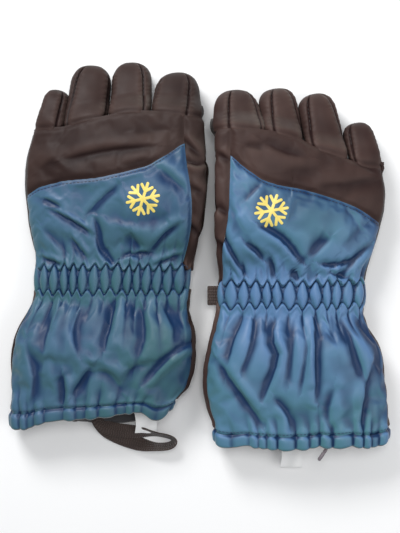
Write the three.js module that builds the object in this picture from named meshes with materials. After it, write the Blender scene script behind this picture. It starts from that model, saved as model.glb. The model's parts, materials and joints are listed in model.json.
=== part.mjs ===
// A pair of insulated gauntlet gloves lying palm down, modelled in millimetres.
// +X runs across the pair, +Y from the hems towards the fingertips, +Z up from the surface they lie on.
//
// Each glove is a soft tube whose cross-section changes along Y. Every layer of it (outer panels,
// wadding, lining, elastic, hem) is a wall between two depths below the same outer surface, so the
// layers nest. Fingers, thumb, cuff and trim hang on nested groups whose origins lie on the line
// they bend about, with that line along the group's own X axis.
import * as THREE from "three";

// ---------------------------------------------------------------- driving dimensions

const WALL = {
  shell: [0, 1.4], // outer fabric and its backing
  hem: [-1.0, 0.8], // folded hem, a little proud of the cuff
  elastic: [2.6, 3.8],
  wadding: [2.6, 4.6],
  hemCord: [1.7, 4.1],
  lining: [6.2, 7.2],
  fingerShell: [0, 2.6], // outer fabric with its wadding quilted on
  fingerLining: [3.5, 4.6],
};
const GAP = 0.6; // clearance between two panels that meet along a seam
const ROUNDNESS = 2.6; // exponent of the hand's and the cuff's superellipse section
const DIGIT_ROUNDNESS = 2.3;
const FLEX_SLOT = 11; // the palm ends this far behind the knuckle line, so that fingers can curl
const HEM_WIDTH = 10;
const FINGER_HEIGHT = { base: 24, tip: 21 };
const HINGE_DROP = 3; // a finger bends this far below its middle, nearer the palm
const THUMB = { width: 29, height: 19 };

// Angles round a section, in degrees: 0 at the thumb side, 90 on the back of the hand, 180 at the
// little finger, 270 at the palm. Walls share these columns, so that their flats stay parallel.
const RING = [-58, -36, -14, 10, 26, 43, 60, 80, 100, 120, 140, 158, 175, 192, 210, 230, 250, 270, 287];
const GUSSET_SEAM = 43; // between the back and the thumb-side gusset
const LITTLE_SEAM = 175; // between the back and the palm
const PALM_SEAM = 302; // between the palm and the gusset, which is -58 again
const CUFF_SEAM = 10; // between the cuff's back and its palm side
const SEAM_INSET = 1.2; // degrees kept clear on each side of a lengthwise seam

// Per glove: side is +1 where the thumb is at +X. A station is [y, least x, greatest x,
// height of the middle, half the thickness, rise per mm towards the thumb]. A finger is
// [base x, base y, tip x, tip y, width at the base, width near the tip].
const GLOVES = {
  left: {
    side: 1,
    stations: [
      [-125.5, -147, -17, 17.2, 18, 0],
      [-113, -151, -14, 17.2, 18, 0],
      [-100, -152, -8, 17.6, 18.5, 0],
      [-80, -151, -3.5, 18.6, 19.5, 0],
      [-62, -148, -3.5, 18.8, 19.8, 0],
      [-45, -141, -6.5, 17.8, 18.6, 0],
      [-31, -132.5, -11, 16.4, 16.4, 0],
      [-17, -130, -13.5, 16.2, 15, 0.01],
      [-5, -129, -7, 17.6, 14.6, 0.03],
      [8, -133.5, -3, 21.5, 14.2, 0.08],
      [22, -136, 0.5, 26, 14, 0.12],
      [40, -138, 4, 29, 14, 0.14],
      [60, -140, 6, 30, 14, 0.14],
      [80, -139, 5.4, 28.5, 14, 0.12],
      [98, -136, 4.6, 25, 13.6, 0.09],
      [112, -132, 3.2, 22, 13, 0.06],
      [122, -128, 2, 20.5, 12.6, 0.05],
    ],
    knuckles: [[-134, 104], [-107, 104.5], [-90, 110.5], [-73, 113], [-56, 117], [-38, 116], [6, 114]],
    colourSeam: [[-140, 51], [-127, 59.5], [-107, 63.5], [-80, 65.5], [-61, 69.5], [-41, 74.5], [-26, 83], [-12, 93]],
    wrist: { top: 1, bottom: -31, elastic: [-4, -24], hinge: -28, cuffStart: -35 },
    hem: -125.5,
    fingers: {
      little: [-119.6, 109.5, -113.1, 138.4, 23.2, 21],
      ring: [-89.9, 115, -86, 158.8, 31.8, 31],
      middle: [-55.8, 120, -54.2, 160.8, 32, 31],
      index: [-18.6, 117.5, -17.6, 152.8, 38.4, 33],
    },
    thumb: [-12, 22, -5.5, 87],
    label: { x: -44, length: 17 },
    hemCord: [120, 480],
  },
  right: {
    side: -1,
    stations: [
      [-146, 17, 147, 17.2, 18, 0],
      [-133, 9.6, 150.6, 17.2, 18, 0],
      [-120, 5.6, 151.2, 17.2, 18, 0],
      [-107, 2.8, 150, 17.6, 18.5, 0],
      [-88, 2.2, 148, 18.6, 19.5, 0],
      [-69, 5.2, 144, 18.8, 19.8, 0],
      [-56, 8.6, 137, 18, 18.8, 0],
      [-42, 14, 130.6, 16.4, 16.4, 0],
      [-28, 18.6, 128.6, 16.2, 15, 0.01],
      [-14, 17, 131, 17.4, 14.6, 0.03],
      [-2, 12.8, 135.4, 21, 14.2, 0.08],
      [12, 11.2, 139.6, 25.8, 14, 0.12],
      [30, 11.2, 145, 29, 14, 0.14],
      [48, 11, 148.2, 30, 14, 0.14],
      [68, 10.8, 148, 28.5, 14, 0.12],
      [84, 10.8, 145, 25, 13.6, 0.09],
      [97, 10.8, 141, 22, 13, 0.06],
      [107, 11, 138, 20.5, 12.6, 0.05],
    ],
    knuckles: [[8, 103.5], [50, 101], [66, 99], [80, 94], [86, 89.5], [100, 86], [116, 79.5], [147, 76]],
    colourSeam: [[20, 86], [34, 73.6], [49, 63.6], [74, 58], [98, 52], [122, 43.5], [134, 38], [150, 28]],
    wrist: { top: -10, bottom: -42, elastic: [-15, -34], hinge: -38, cuffStart: -45 },
    hem: -146,
    fingers: {
      little: [131.5, 83.5, 125, 112.5, 24.4, 24],
      ring: [99.4, 94.5, 90.8, 135.6, 30, 29.6],
      middle: [65.7, 104, 60.6, 140, 29.2, 31],
      index: [30.4, 107, 27, 139.2, 38.4, 34],
    },
    thumb: [28.5, 13, 25, 76],
    label: { x: 74, length: 24 },
    hemCord: [120, 440],
  },
};

// Webbing loop at the left hem: a doubled strap that ends in an open eye.
const LOOP = { x: -84, width: 14, thick: 5, neck: 6, eye: { x: -35, y: -139, length: 17, height: 7.5, hole: 0.62 } };
// Webbing tab at the right wrist, folded back on itself.
const TAB = { x: 17.2, y: -27, z: 13.5, reach: 11.4, width: 16, ply: 1.5, fold: 5.2 };
// Pull on the right hem cord: a moulded bar whose neck runs back inside the cuff.
const PULL = { x: 101, y: -145, z: 31, lean: [-0.57, -0.82], radius: 1.3, outside: 15, inside: 20 };
const LABEL = { width: 12, thick: 0.8, inside: 4, height: 10 };

// ---------------------------------------------------------------- materials

const cloth = (color, roughness = 0.8) => new THREE.MeshStandardMaterial({ color, roughness, metalness: 0 });
const MATERIAL = {
  blueShell: cloth(0x4a6f8f, 0.55),
  darkShell: cloth(0x4a3b3a, 0.6),
  palmGrip: cloth(0x221d1d, 0.7),
  wadding: cloth(0xe8e6df, 1),
  fleece: cloth(0x2a2a2e, 1),
  elastic: cloth(0x1c1c1e, 0.9),
  webbing: cloth(0x2c211d, 0.85),
  label: cloth(0xeeeeea, 0.7),
  pull: cloth(0x7a6f76, 0.5),
};

// ---------------------------------------------------------------- geometry helpers

const radians = THREE.MathUtils.degToRad;

// sign(t) * |t|^(2/n): the coordinate of a superellipse of exponent n.
const rounded = (t, n) => Math.sign(t) * Math.abs(t) ** (2 / n);

// Straight-line interpolation through [x, y] points.
function line(points) {
  const values = new THREE.LinearInterpolant(points.map((p) => p[0]), points.map((p) => p[1]), 1);
  return (x) => values.evaluate(x)[0];
}

// A closed wall between an outer and an inner surface, each given as (column, row) => Vector3.
// closed joins the last column to the first; tip draws the last row together to one point.
function wall({ columns, rows, closed = false, tip = false, outer, inner }) {
  const positions = [];
  const known = new Map();
  const vertex = (surface, i, j) => {
    const column = tip && j === rows ? 0 : closed ? i % columns : i;
    const key = `${surface} ${column} ${j}`;
    if (!known.has(key)) {
      known.set(key, positions.length / 3);
      positions.push(...(surface ? inner : outer)(column, j).toArray());
    }
    return known.get(key);
  };
  const index = [];
  const triangle = (a, b, c) => {
    if (a !== b && b !== c && c !== a) index.push(a, b, c);
  };
  const quad = (a, b, c, d) => {
    triangle(a, b, c);
    triangle(a, c, d);
  };
  for (let i = 0; i < columns; i++) {
    for (let j = 0; j < rows; j++) {
      quad(vertex(0, i, j), vertex(0, i + 1, j), vertex(0, i + 1, j + 1), vertex(0, i, j + 1));
      quad(vertex(1, i, j + 1), vertex(1, i + 1, j + 1), vertex(1, i + 1, j), vertex(1, i, j));
    }
    quad(vertex(0, i + 1, 0), vertex(0, i, 0), vertex(1, i, 0), vertex(1, i + 1, 0));
    if (!tip) quad(vertex(0, i, rows), vertex(0, i + 1, rows), vertex(1, i + 1, rows), vertex(1, i, rows));
  }
  if (!closed) {
    for (let j = 0; j < rows; j++) {
      quad(vertex(0, 0, j), vertex(0, 0, j + 1), vertex(1, 0, j + 1), vertex(1, 0, j));
      quad(vertex(0, columns, j + 1), vertex(0, columns, j), vertex(1, columns, j), vertex(1, columns, j + 1));
    }
  }
  const geometry = new THREE.BufferGeometry();
  geometry.setAttribute("position", new THREE.Float32BufferAttribute(positions, 3));
  geometry.setIndex(index);
  return facingOut(geometry);
}

// Turns every face round if the geometry encloses a negative volume, as it does on a mirrored glove.
function facingOut(geometry) {
  const at = geometry.getAttribute("position");
  const index = geometry.getIndex();
  const [a, b, c] = [new THREE.Vector3(), new THREE.Vector3(), new THREE.Vector3()];
  let volume = 0;
  for (let k = 0; k < index.count; k += 3) {
    a.fromBufferAttribute(at, index.getX(k));
    b.fromBufferAttribute(at, index.getX(k + 1));
    c.fromBufferAttribute(at, index.getX(k + 2));
    volume += a.dot(b.cross(c)) / 6;
  }
  if (volume < 0) {
    for (let k = 0; k < index.count; k += 3) {
      const swap = index.getX(k);
      index.setX(k, index.getX(k + 1));
      index.setX(k + 1, swap);
    }
  }
  geometry.computeVertexNormals();
  return geometry;
}

// The columns of RING from one angle to another, with the ends drawn in by SEAM_INSET.
function arc(from, to) {
  const turns = [...RING, ...RING.map((angle) => angle + 360)];
  const between = turns.filter((angle) => angle > from + 3 && angle < to - 3);
  return [from + SEAM_INSET, ...between, to - SEAM_INSET];
}

// A joint: a group at a point, whose X axis points along the line that the piece bends about.
// The point and the axis are in the pair's frame, whatever group the joint hangs on.
function joint(parent, name, point, axis) {
  const group = new THREE.Group();
  group.name = name;
  group.position.copy(point);
  group.quaternion.setFromUnitVectors(new THREE.Vector3(1, 0, 0), axis.clone().normalize());
  parent.updateWorldMatrix(true, false);
  parent.attach(group);
  return group;
}

// ---------------------------------------------------------------- one glove

function makeGlove(name, spec, pair) {
  const glove = new THREE.Group();
  pair.add(glove);
  const { side, wrist } = spec;
  const knuckleLine = line(spec.knuckles);
  const colourLine = line(spec.colourSeam);
  const stations = new THREE.CubicInterpolant(
    spec.stations.map((row) => row[0]),
    spec.stations.flatMap((row) => row.slice(1)),
    5,
  );

  const section = (y) => {
    const [x0, x1, z, half, rise] = stations.evaluate(y);
    return { x: (x0 + x1) / 2, a: (x1 - x0) / 2, z, b: half, slope: side * rise };
  };

  // A point on the glove's body at an angle round it, a place along it and a depth below its surface.
  const onBody = (degrees, y, depth) => {
    const s = section(y);
    const angle = radians(degrees);
    const dx = side * (s.a - depth) * rounded(Math.cos(angle), ROUNDNESS);
    const dz = (s.b - depth) * rounded(Math.sin(angle), ROUNDNESS);
    return new THREE.Vector3(s.x + dx, y, Math.max(s.z + s.slope * dx + dz, depth, 0));
  };

  // Every piece is shaped in the pair's frame and then attached to the group it moves with.
  const add = (piece, geometry, material, parent = glove) => {
    const mesh = new THREE.Mesh(geometry, material);
    mesh.name = `${name}_${piece}`;
    parent.updateWorldMatrix(true, false);
    parent.attach(mesh);
    return mesh;
  };

  // A panel or sleeve of the body, from one angle to another and between two places along it,
  // which may be numbers or functions of the angle. Rows crowd towards the start for a crowding over 1.
  const bodyWall = (angles, from, to, rows, [near, far], { closed = false, crowding = 1 } = {}) => {
    const start = typeof from === "number" ? () => from : from;
    const end = typeof to === "number" ? () => to : to;
    const surface = (depth) => (i, j) => {
      const share = (j / rows) ** crowding;
      return onBody(angles[i], THREE.MathUtils.lerp(start(angles[i]), end(angles[i]), share), depth);
    };
    const columns = closed ? angles.length : angles.length - 1;
    return wall({ columns, rows, closed, outer: surface(near), inner: surface(far) });
  };

  // Where a line across the back, given as y against x, crosses the column at an angle.
  const across = (lineOfX, guess) => (degrees) => lineOfX(onBody(degrees, guess, 0).x);
  const knuckles = across(knuckleLine, 100);
  const colours = across(colourLine, spec.stations.at(-1)[0] - 60);
  const palmFront = (degrees) => knuckles(degrees) - FLEX_SLOT;
  const gussetFront = (degrees) => (degrees > 15 ? knuckles(degrees) - GAP : palmFront(degrees));

  const addHand = () => {
    const back = arc(GUSSET_SEAM, LITTLE_SEAM);
    const palm = arc(LITTLE_SEAM, PALM_SEAM);
    const gusset = arc(PALM_SEAM - 360, GUSSET_SEAM);
    const seamAbove = (degrees) => colours(degrees) + GAP / 2;
    const seamBelow = (degrees) => colours(degrees) - GAP / 2;
    const front = (degrees) => knuckles(degrees) - GAP;
    const rear = wrist.top + GAP;
    add("knuckle_panel", bodyWall(back, seamAbove, front, 3, WALL.shell), MATERIAL.darkShell);
    const ring = { closed: true, crowding: 1.3 };
    add("back_panel", bodyWall(back, rear, seamBelow, 5, WALL.shell), MATERIAL.blueShell);
    add("palm_panel", bodyWall(palm, rear, palmFront, 7, WALL.shell), MATERIAL.palmGrip);
    add("side_gusset", bodyWall(gusset, rear, gussetFront, 7, WALL.shell), MATERIAL.darkShell);
    add("hand_wadding", bodyWall(RING, rear, palmFront, 7, WALL.wadding, ring), MATERIAL.wadding);
    add("hand_lining", bodyWall(RING, wrist.elastic[1], palmFront, 9, WALL.lining, ring), MATERIAL.fleece);
  };

  const addWrist = () => {
    const { top, bottom, elastic } = wrist;
    const ring = { closed: true };
    add("wrist_sleeve", bodyWall(RING, bottom, top, 4, WALL.shell, ring), MATERIAL.blueShell);
    add("wrist_elastic", bodyWall(RING, elastic[1], elastic[0], 2, WALL.elastic, ring), MATERIAL.elastic);
  };

  // A digit: a round-ended tube from a base to a tip, its sections upright and across its own line.
  const makeDigit = ({ base, tip, width, height }) => {
    const run = tip.clone().sub(base);
    const along = new THREE.Vector3(run.x, run.y, 0).normalize();
    const sideways = new THREE.Vector3(along.y, -along.x, 0);
    const total = run.length();
    const capLength = 0.55 * width.tip;
    const at = (degrees, share, depth) => {
      const reach = (total - depth) * share;
      const t = reach / total;
      const intoCap = Math.max(0, reach - (total - capLength)) / (capLength - depth);
      const closing = Math.sqrt(Math.max(0, 1 - intoCap * intoCap));
      const a = (THREE.MathUtils.lerp(width.base, width.tip, t) / 2 - depth) * closing;
      const b = (THREE.MathUtils.lerp(height.base, height.tip, t) / 2 - depth) * closing;
      const point = base.clone().addScaledVector(run, t);
      point.addScaledVector(sideways, side * a * rounded(Math.cos(radians(degrees)), DIGIT_ROUNDNESS));
      point.z += b * rounded(Math.sin(radians(degrees)), DIGIT_ROUNDNESS);
      point.z = Math.max(point.z, depth, 0);
      return point;
    };
    // Rows crowd towards the tip, where the tube closes.
    const shares = [0, 0.32, 0.58, 0.76, 0.89, 0.97, 1];
    const tube = (angles, [near, far], lift = 0, closed = false) => {
      const surface = (depth) => (i, j) => at(angles[i], shares[j], depth).add(new THREE.Vector3(0, 0, lift));
      const columns = closed ? angles.length : angles.length - 1;
      return wall({ columns, rows: shares.length - 1, closed, tip: true, outer: surface(near), inner: surface(far) });
    };
    return { along, sideways, tube };
  };

  const steps = (from, to, count) => Array.from({ length: count + 1 }, (_, k) => from + ((to - from) * k) / count);
  const fullRing = steps(0, 360, 10).slice(0, -1);

  const addFinger = (finger, [baseX, baseY, tipX, tipY, baseWidth, tipWidth]) => {
    const s = section(baseY);
    const base = new THREE.Vector3(baseX, baseY, s.z + s.slope * (baseX - s.x) - 1);
    const digit = makeDigit({
      base,
      tip: new THREE.Vector3(tipX, tipY, FINGER_HEIGHT.tip / 2 - 0.4),
      width: { base: baseWidth, tip: tipWidth },
      height: FINGER_HEIGHT,
    });
    const hinge = base.clone();
    hinge.z -= HINGE_DROP;
    const bend = joint(glove, `${name}_${finger}_flex`, hinge, digit.sideways.clone().negate());
    const half = 0.2; // half of the gap between the two halves of the shell
    const back = digit.tube(steps(2, 178, 6), WALL.fingerShell, half);
    const palm = digit.tube(steps(182, 358, 6), WALL.fingerShell, 0);
    add(`${finger}_back`, back, MATERIAL.darkShell, bend);
    add(`${finger}_palm`, palm, MATERIAL.palmGrip, bend);
    add(`${finger}_lining`, digit.tube(fullRing, WALL.fingerLining, half / 2, true), MATERIAL.fleece, bend);
  };

  const addThumb = () => {
    const [baseX, baseY, tipX, tipY] = spec.thumb;
    const height = THUMB.height / 2 - 0.4;
    const base = new THREE.Vector3(baseX, baseY, height);
    const digit = makeDigit({
      base,
      tip: new THREE.Vector3(tipX, tipY, height),
      width: { base: THUMB.width, tip: THUMB.width },
      height: { base: THUMB.height, tip: THUMB.height },
    });
    const bend = joint(glove, `${name}_thumb_open`, base, digit.sideways.clone().negate());
    add("thumb_shell", digit.tube(fullRing, WALL.fingerShell, 0, true), MATERIAL.darkShell, bend);
    add("thumb_lining", digit.tube(fullRing, WALL.fingerLining, 0, true), MATERIAL.fleece, bend);
  };

  const addCuff = () => {
    const { hem } = spec;
    const start = wrist.cuffStart;
    const s = section(wrist.hinge);
    const bend = joint(glove, `${name}_wrist_flex`, new THREE.Vector3(s.x, wrist.hinge, s.z), new THREE.Vector3(-1, 0, 0));
    const hemTop = hem + HEM_WIDTH;
    const back = arc(CUFF_SEAM, LITTLE_SEAM);
    const palm = arc(LITTLE_SEAM, CUFF_SEAM + 360);
    add("cuff_back", bodyWall(back, hemTop + GAP, start, 5, WALL.shell), MATERIAL.blueShell, bend);
    add("cuff_palm", bodyWall(palm, hemTop + GAP, start, 5, WALL.shell), MATERIAL.darkShell, bend);
    add("cuff_lining", bodyWall(RING, hem + 1, start, 5, WALL.lining, { closed: true }), MATERIAL.fleece, bend);
    add("hem_band", bodyWall(RING, hem, hemTop, 1, WALL.hem, { closed: true }), MATERIAL.blueShell, bend);
    const cord = [hem + 3.6, hem + 6.2];
    const [from, to] = spec.hemCord;
    add("hem_cord", bodyWall(arc(from, to), ...cord, 1, WALL.hemCord), MATERIAL.elastic, bend);
    addLabel(bend);
    return bend;
  };

  // The care label is a flat ribbon sewn inside the mouth, on the palm side.
  const addLabel = (cuff) => {
    const { x, length } = spec.label;
    const root = spec.hem + LABEL.inside;
    const ribbon = new THREE.BoxGeometry(LABEL.width, length, LABEL.thick);
    ribbon.translate(x, root - length / 2, LABEL.height + LABEL.thick / 2);
    const hinge = new THREE.Vector3(x, root, LABEL.height + LABEL.thick / 2);
    add("care_label", ribbon, MATERIAL.label, joint(cuff, `${name}_label_flap`, hinge, new THREE.Vector3(-1, 0, 0)));
  };

  addHand();
  addWrist();
  for (const [finger, row] of Object.entries(spec.fingers)) addFinger(finger, row);
  addThumb();
  const cuff = addCuff();
  return { add, cuff, glove };
}

// ---------------------------------------------------------------- trim

// The webbing loop, seen from above: a neck that turns along the hem and opens into an eye.
function loopGeometry(hem) {
  const { x, width, thick, neck, eye } = LOOP;
  const half = width / 2;
  const top = hem - 0.5;
  const turn = top - neck;
  const outline = new THREE.Shape();
  outline.moveTo(x - half, top);
  outline.lineTo(x - half, turn);
  outline.quadraticCurveTo(x - half, eye.y - 3, x + width, eye.y - 5.5);
  outline.lineTo(eye.x - eye.length * 0.5, eye.y - eye.height);
  outline.absellipse(eye.x, eye.y, eye.length, eye.height, -Math.PI / 2, Math.PI / 2, false);
  outline.lineTo(x + width + 8, eye.y + 5.5);
  outline.quadraticCurveTo(x + half, eye.y + 6, x + half, turn + 2);
  outline.lineTo(x + half, top);
  outline.closePath();
  const hole = new THREE.Path();
  hole.absellipse(eye.x, eye.y, eye.length * eye.hole + 2, eye.height * eye.hole, 0, 2 * Math.PI, true);
  outline.holes.push(hole);
  return new THREE.ExtrudeGeometry(outline, { depth: thick, bevelEnabled: false, curveSegments: 9 });
}

// The wrist tab: webbing folded back on itself, as a U seen along the glove.
function tabGeometry() {
  const { x, y, z, reach, width, ply, fold } = TAB;
  const half = fold / 2;
  const bend = x - reach + half;
  const profile = new THREE.Shape();
  profile.moveTo(x, -half);
  profile.lineTo(x, -half + ply);
  profile.lineTo(bend, -half + ply);
  profile.absarc(bend, 0, half - ply, -Math.PI / 2, Math.PI / 2, true);
  profile.lineTo(x, half - ply);
  profile.lineTo(x, half);
  profile.lineTo(bend, half);
  profile.absarc(bend, 0, half, Math.PI / 2, (3 * Math.PI) / 2, false);
  profile.closePath();
  const folded = new THREE.ExtrudeGeometry(profile, { depth: width, bevelEnabled: false, curveSegments: 6 });
  folded.rotateX(Math.PI / 2);
  return folded.translate(0, y + width / 2, z);
}

function addTrim(left, right) {
  const hem = GLOVES.left.hem;
  const loopHinge = new THREE.Vector3(LOOP.x, hem - 0.5, LOOP.thick / 2);
  const loop = joint(left.cuff, "left_loop_lift", loopHinge, new THREE.Vector3(-1, 0, 0));
  left.add("hang_loop", loopGeometry(hem), MATERIAL.webbing, loop);

  const tabHinge = new THREE.Vector3(TAB.x, TAB.y, TAB.z);
  const tab = joint(right.glove, "right_tab_swing", tabHinge, new THREE.Vector3(0, 1, 0));
  right.add("wrist_tab", tabGeometry(), MATERIAL.webbing, tab);

  // The pull slides along its own line, which is the joint's X axis.
  const lean = new THREE.Vector3(...PULL.lean, 0).normalize();
  const start = new THREE.Vector3(PULL.x, PULL.y, PULL.z);
  const pull = joint(right.cuff, "right_pull_slide", start, lean);
  const length = PULL.outside + PULL.inside;
  const bar = new THREE.CapsuleGeometry(PULL.radius, length - 2 * PULL.radius, 3, 10);
  bar.applyQuaternion(new THREE.Quaternion().setFromUnitVectors(new THREE.Vector3(0, 1, 0), lean));
  const middle = start.clone().addScaledVector(lean, (PULL.outside - PULL.inside) / 2);
  bar.translate(...middle.toArray());
  right.add("cord_pull", bar, MATERIAL.pull, pull);
}

// ---------------------------------------------------------------- the pair

const pair = new THREE.Group();
const left = makeGlove("left", GLOVES.left, pair);
const right = makeGlove("right", GLOVES.right, pair);
addTrim(left, right);

// The part's origin is the middle of the footprint, on the surface that the gloves lie on.
const footprint = new THREE.Box3().setFromObject(pair);
const centre = footprint.getCenter(new THREE.Vector3());
pair.position.set(-centre.x, -centre.y, -footprint.min.z);

export default pair;
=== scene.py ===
"""A pair of insulated gauntlet gloves: the sewn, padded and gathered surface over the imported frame.

Every soft piece is a closed wall of cloth laid on a form. The forms are read off the frame: one for each
glove's hand, wrist and cuff, and one for each digit. A form says where its surface is at an angle round it
and a place along it. Gathers, folds and seams are then pressed into the cloth, which hangs between its seams
under a short cloth simulation. Lengths in this file are in metres unless a name ends in _mm.
"""
import json
import math

import bpy
import numpy as np
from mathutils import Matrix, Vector
from mathutils.bvhtree import BVHTree


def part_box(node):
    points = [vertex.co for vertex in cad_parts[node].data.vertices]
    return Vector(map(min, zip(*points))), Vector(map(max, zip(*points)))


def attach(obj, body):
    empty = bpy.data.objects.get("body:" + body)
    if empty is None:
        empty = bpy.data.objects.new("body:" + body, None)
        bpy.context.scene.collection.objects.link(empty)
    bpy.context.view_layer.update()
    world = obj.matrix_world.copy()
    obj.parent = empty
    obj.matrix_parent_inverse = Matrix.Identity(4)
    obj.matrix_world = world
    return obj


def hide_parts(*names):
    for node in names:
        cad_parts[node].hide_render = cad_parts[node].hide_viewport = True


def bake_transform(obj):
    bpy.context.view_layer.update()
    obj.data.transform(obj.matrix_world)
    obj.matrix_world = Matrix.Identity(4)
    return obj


bl_info = {
    "name": "Insulated Gauntlet Gloves",
    "version": (1, 0, 0),
    "blender": (4, 5, 0),
    "location": "View3D > Sidebar > Gloves",
    "description": "Builds the cloth, padding, gathers and trim of a pair of gauntlet gloves",
    "category": "Object",
}

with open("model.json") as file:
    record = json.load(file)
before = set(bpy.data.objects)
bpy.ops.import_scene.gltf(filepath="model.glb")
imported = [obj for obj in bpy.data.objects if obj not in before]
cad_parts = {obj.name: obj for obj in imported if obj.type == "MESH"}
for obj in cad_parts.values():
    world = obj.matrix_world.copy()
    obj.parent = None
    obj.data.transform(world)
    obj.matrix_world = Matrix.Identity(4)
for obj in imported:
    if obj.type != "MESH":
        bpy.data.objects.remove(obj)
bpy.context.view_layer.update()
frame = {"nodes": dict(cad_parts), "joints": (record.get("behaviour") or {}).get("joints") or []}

MM = 0.001
SIDES = {"left": 1, "right": -1}  # +1 where the thumb side is at +X
FINGERS = ("little", "ring", "middle", "index")
ROUNDNESS = 2.6  # the superellipse exponent of the hand's and the cuff's section
DIGIT_ROUNDNESS = 2.3
TIP_ROUNDNESS = 2.35
SEAM = {"gusset": 43, "little": 175, "palm": 302, "cuff": 10}  # degrees round the section
UPPER, LOWER = 0, 1  # the two rows of shirring stitches
SHEEN_FACING = np.array([-0.55, -0.8, 0.2])  # the way that cloth faces for painted sheen: blue nylon facing this way is painted lighter and greener, dark nylon facing the other way is painted greyer
PRESSED_MOST = 3.3 * MM  # how far a panel may dip before it meets the wadding


# ---------------------------------------------------------------- settings


class GloveCloth(bpy.types.PropertyGroup):
    """Sizes of the cloth and its folds."""

    grain: bpy.props.FloatProperty(
        name="Grain",
        description="Distance between points of the cloth",
        default=0.95 * MM,
        unit="LENGTH",
    )
    shell: bpy.props.FloatProperty(
        name="Shell",
        description="Thickness of the outer cloth with its backing",
        default=1.1 * MM,
        unit="LENGTH",
    )
    seam_depth: bpy.props.FloatProperty(
        name="Seam depth",
        description="How far a panel dips into its seam",
        default=1.7 * MM,
        unit="LENGTH",
    )
    seam_reach: bpy.props.FloatProperty(
        name="Seam reach",
        description="Width of the dip beside a seam",
        default=2.6 * MM,
        unit="LENGTH",
    )
    puff_height: bpy.props.FloatProperty(
        name="Puff height",
        description="Height of the puffs between the shirring rows",
        default=3.0 * MM,
        unit="LENGTH",
    )
    pleat_height: bpy.props.FloatProperty(
        name="Pleat height",
        description="Height of the pleats beside the shirring",
        default=3.1 * MM,
        unit="LENGTH",
    )


class GloveColours(bpy.types.PropertyGroup):
    """Colours of the cloths and the trim, as linear red, green and blue; the nylons' ridge and fold colours
    are painted highlight and painted shade.
    """

    # Painted highlight: the lit blue that raised cloth is given.
    blue_lit_ridge: bpy.props.FloatVectorProperty(
        name="Blue, ridges",
        description="Blue nylon where it rises",
        subtype="COLOR",
        default=(0.056, 0.118, 0.225),
    )
    # Painted shade: the dark navy painted into the folds.
    blue_shaded_fold: bpy.props.FloatVectorProperty(
        name="Blue, valleys",
        description="Blue nylon in its folds",
        subtype="COLOR",
        default=(0.005, 0.026, 0.082),
    )
    # The weave's green side, which is also spread by how the cloth faces as painted sheen.
    teal: bpy.props.FloatVectorProperty(
        name="Teal",
        description="The green side of the two-tone weave",
        subtype="COLOR",
        default=(0.04, 0.115, 0.14),
    )
    # The dark nylon's own colour, which is also the painted shade in its folds.
    dark: bpy.props.FloatVectorProperty(
        name="Dark",
        description="Dark nylon of the fingers and knuckles",
        subtype="COLOR",
        default=(0.017, 0.0075, 0.007),
    )
    # Painted highlight: the lit dark nylon that raised cloth is given.
    dark_lit_ridge: bpy.props.FloatVectorProperty(
        name="Dark, ridges",
        description="Dark nylon where it rises",
        subtype="COLOR",
        default=(0.068, 0.041, 0.035),
    )
    badge: bpy.props.FloatVectorProperty(
        name="Badge",
        description="Raised print on the backs",
        subtype="COLOR",
        default=(0.8, 0.64, 0.15),
    )
    webbing: bpy.props.FloatVectorProperty(
        name="Webbing",
        description="Loop and tab",
        subtype="COLOR",
        default=(0.022, 0.012, 0.009),
    )


def settings():
    return bpy.context.scene.glove_cloth


def colours():
    return bpy.context.scene.glove_colours


# ---------------------------------------------------------------- numbers and curves


def smoothed(values, sigma):
    """values run through a Gaussian of sigma samples."""
    reach = int(3 * sigma) + 1
    kernel = np.exp(-0.5 * (np.arange(-reach, reach + 1) / sigma) ** 2)
    padded = np.pad(values, reach, mode="edge")
    return np.convolve(padded, kernel / kernel.sum(), mode="valid")


def closed_over(values, reach):
    """values with every dip narrower than twice reach filled in."""

    def pick(run, choose):
        return np.array([choose(run[max(0, k - reach) : k + reach + 1]) for k in range(len(run))])

    return pick(pick(values, np.max), np.min)


def rounded(t, exponent):
    """The coordinate of a superellipse: sign(t) * |t| ** (2 / exponent)."""
    return np.sign(t) * np.abs(t) ** (2 / exponent)


def smoothstep(t):
    t = np.clip(t, 0, 1)
    return t * t * (3 - 2 * t)


def bump(distance, width):
    return np.exp(-((distance / width) ** 2))


def value_noise(x, y, scale, seed):
    """Smooth noise from -1 to 1 over a plane, with features about scale across."""
    rng = np.random.default_rng(seed)
    table = rng.uniform(-1, 1, (64, 64))
    gx, gy = x / scale, y / scale
    ix, iy = np.floor(gx).astype(int), np.floor(gy).astype(int)
    fx, fy = smoothstep(gx - ix), smoothstep(gy - iy)

    def at(i, j):
        return table[(ix + i) % 64, (iy + j) % 64]

    low = at(0, 0) * (1 - fx) + at(1, 0) * fx
    high = at(0, 1) * (1 - fx) + at(1, 1) * fx
    return low * (1 - fy) + high * fy


def grid_normals(points, side, closed=False):
    """Unit normals of a grid of points[row, column], out of the glove on that side."""
    if closed:
        across = np.roll(points, -1, 1) - np.roll(points, 1, 1)
    else:
        across = np.gradient(points, axis=1)
    along = np.gradient(points, axis=0)
    normals = np.cross(across, along) * -side
    return normals / np.maximum(np.linalg.norm(normals, axis=2, keepdims=True), 1e-12)


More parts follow.
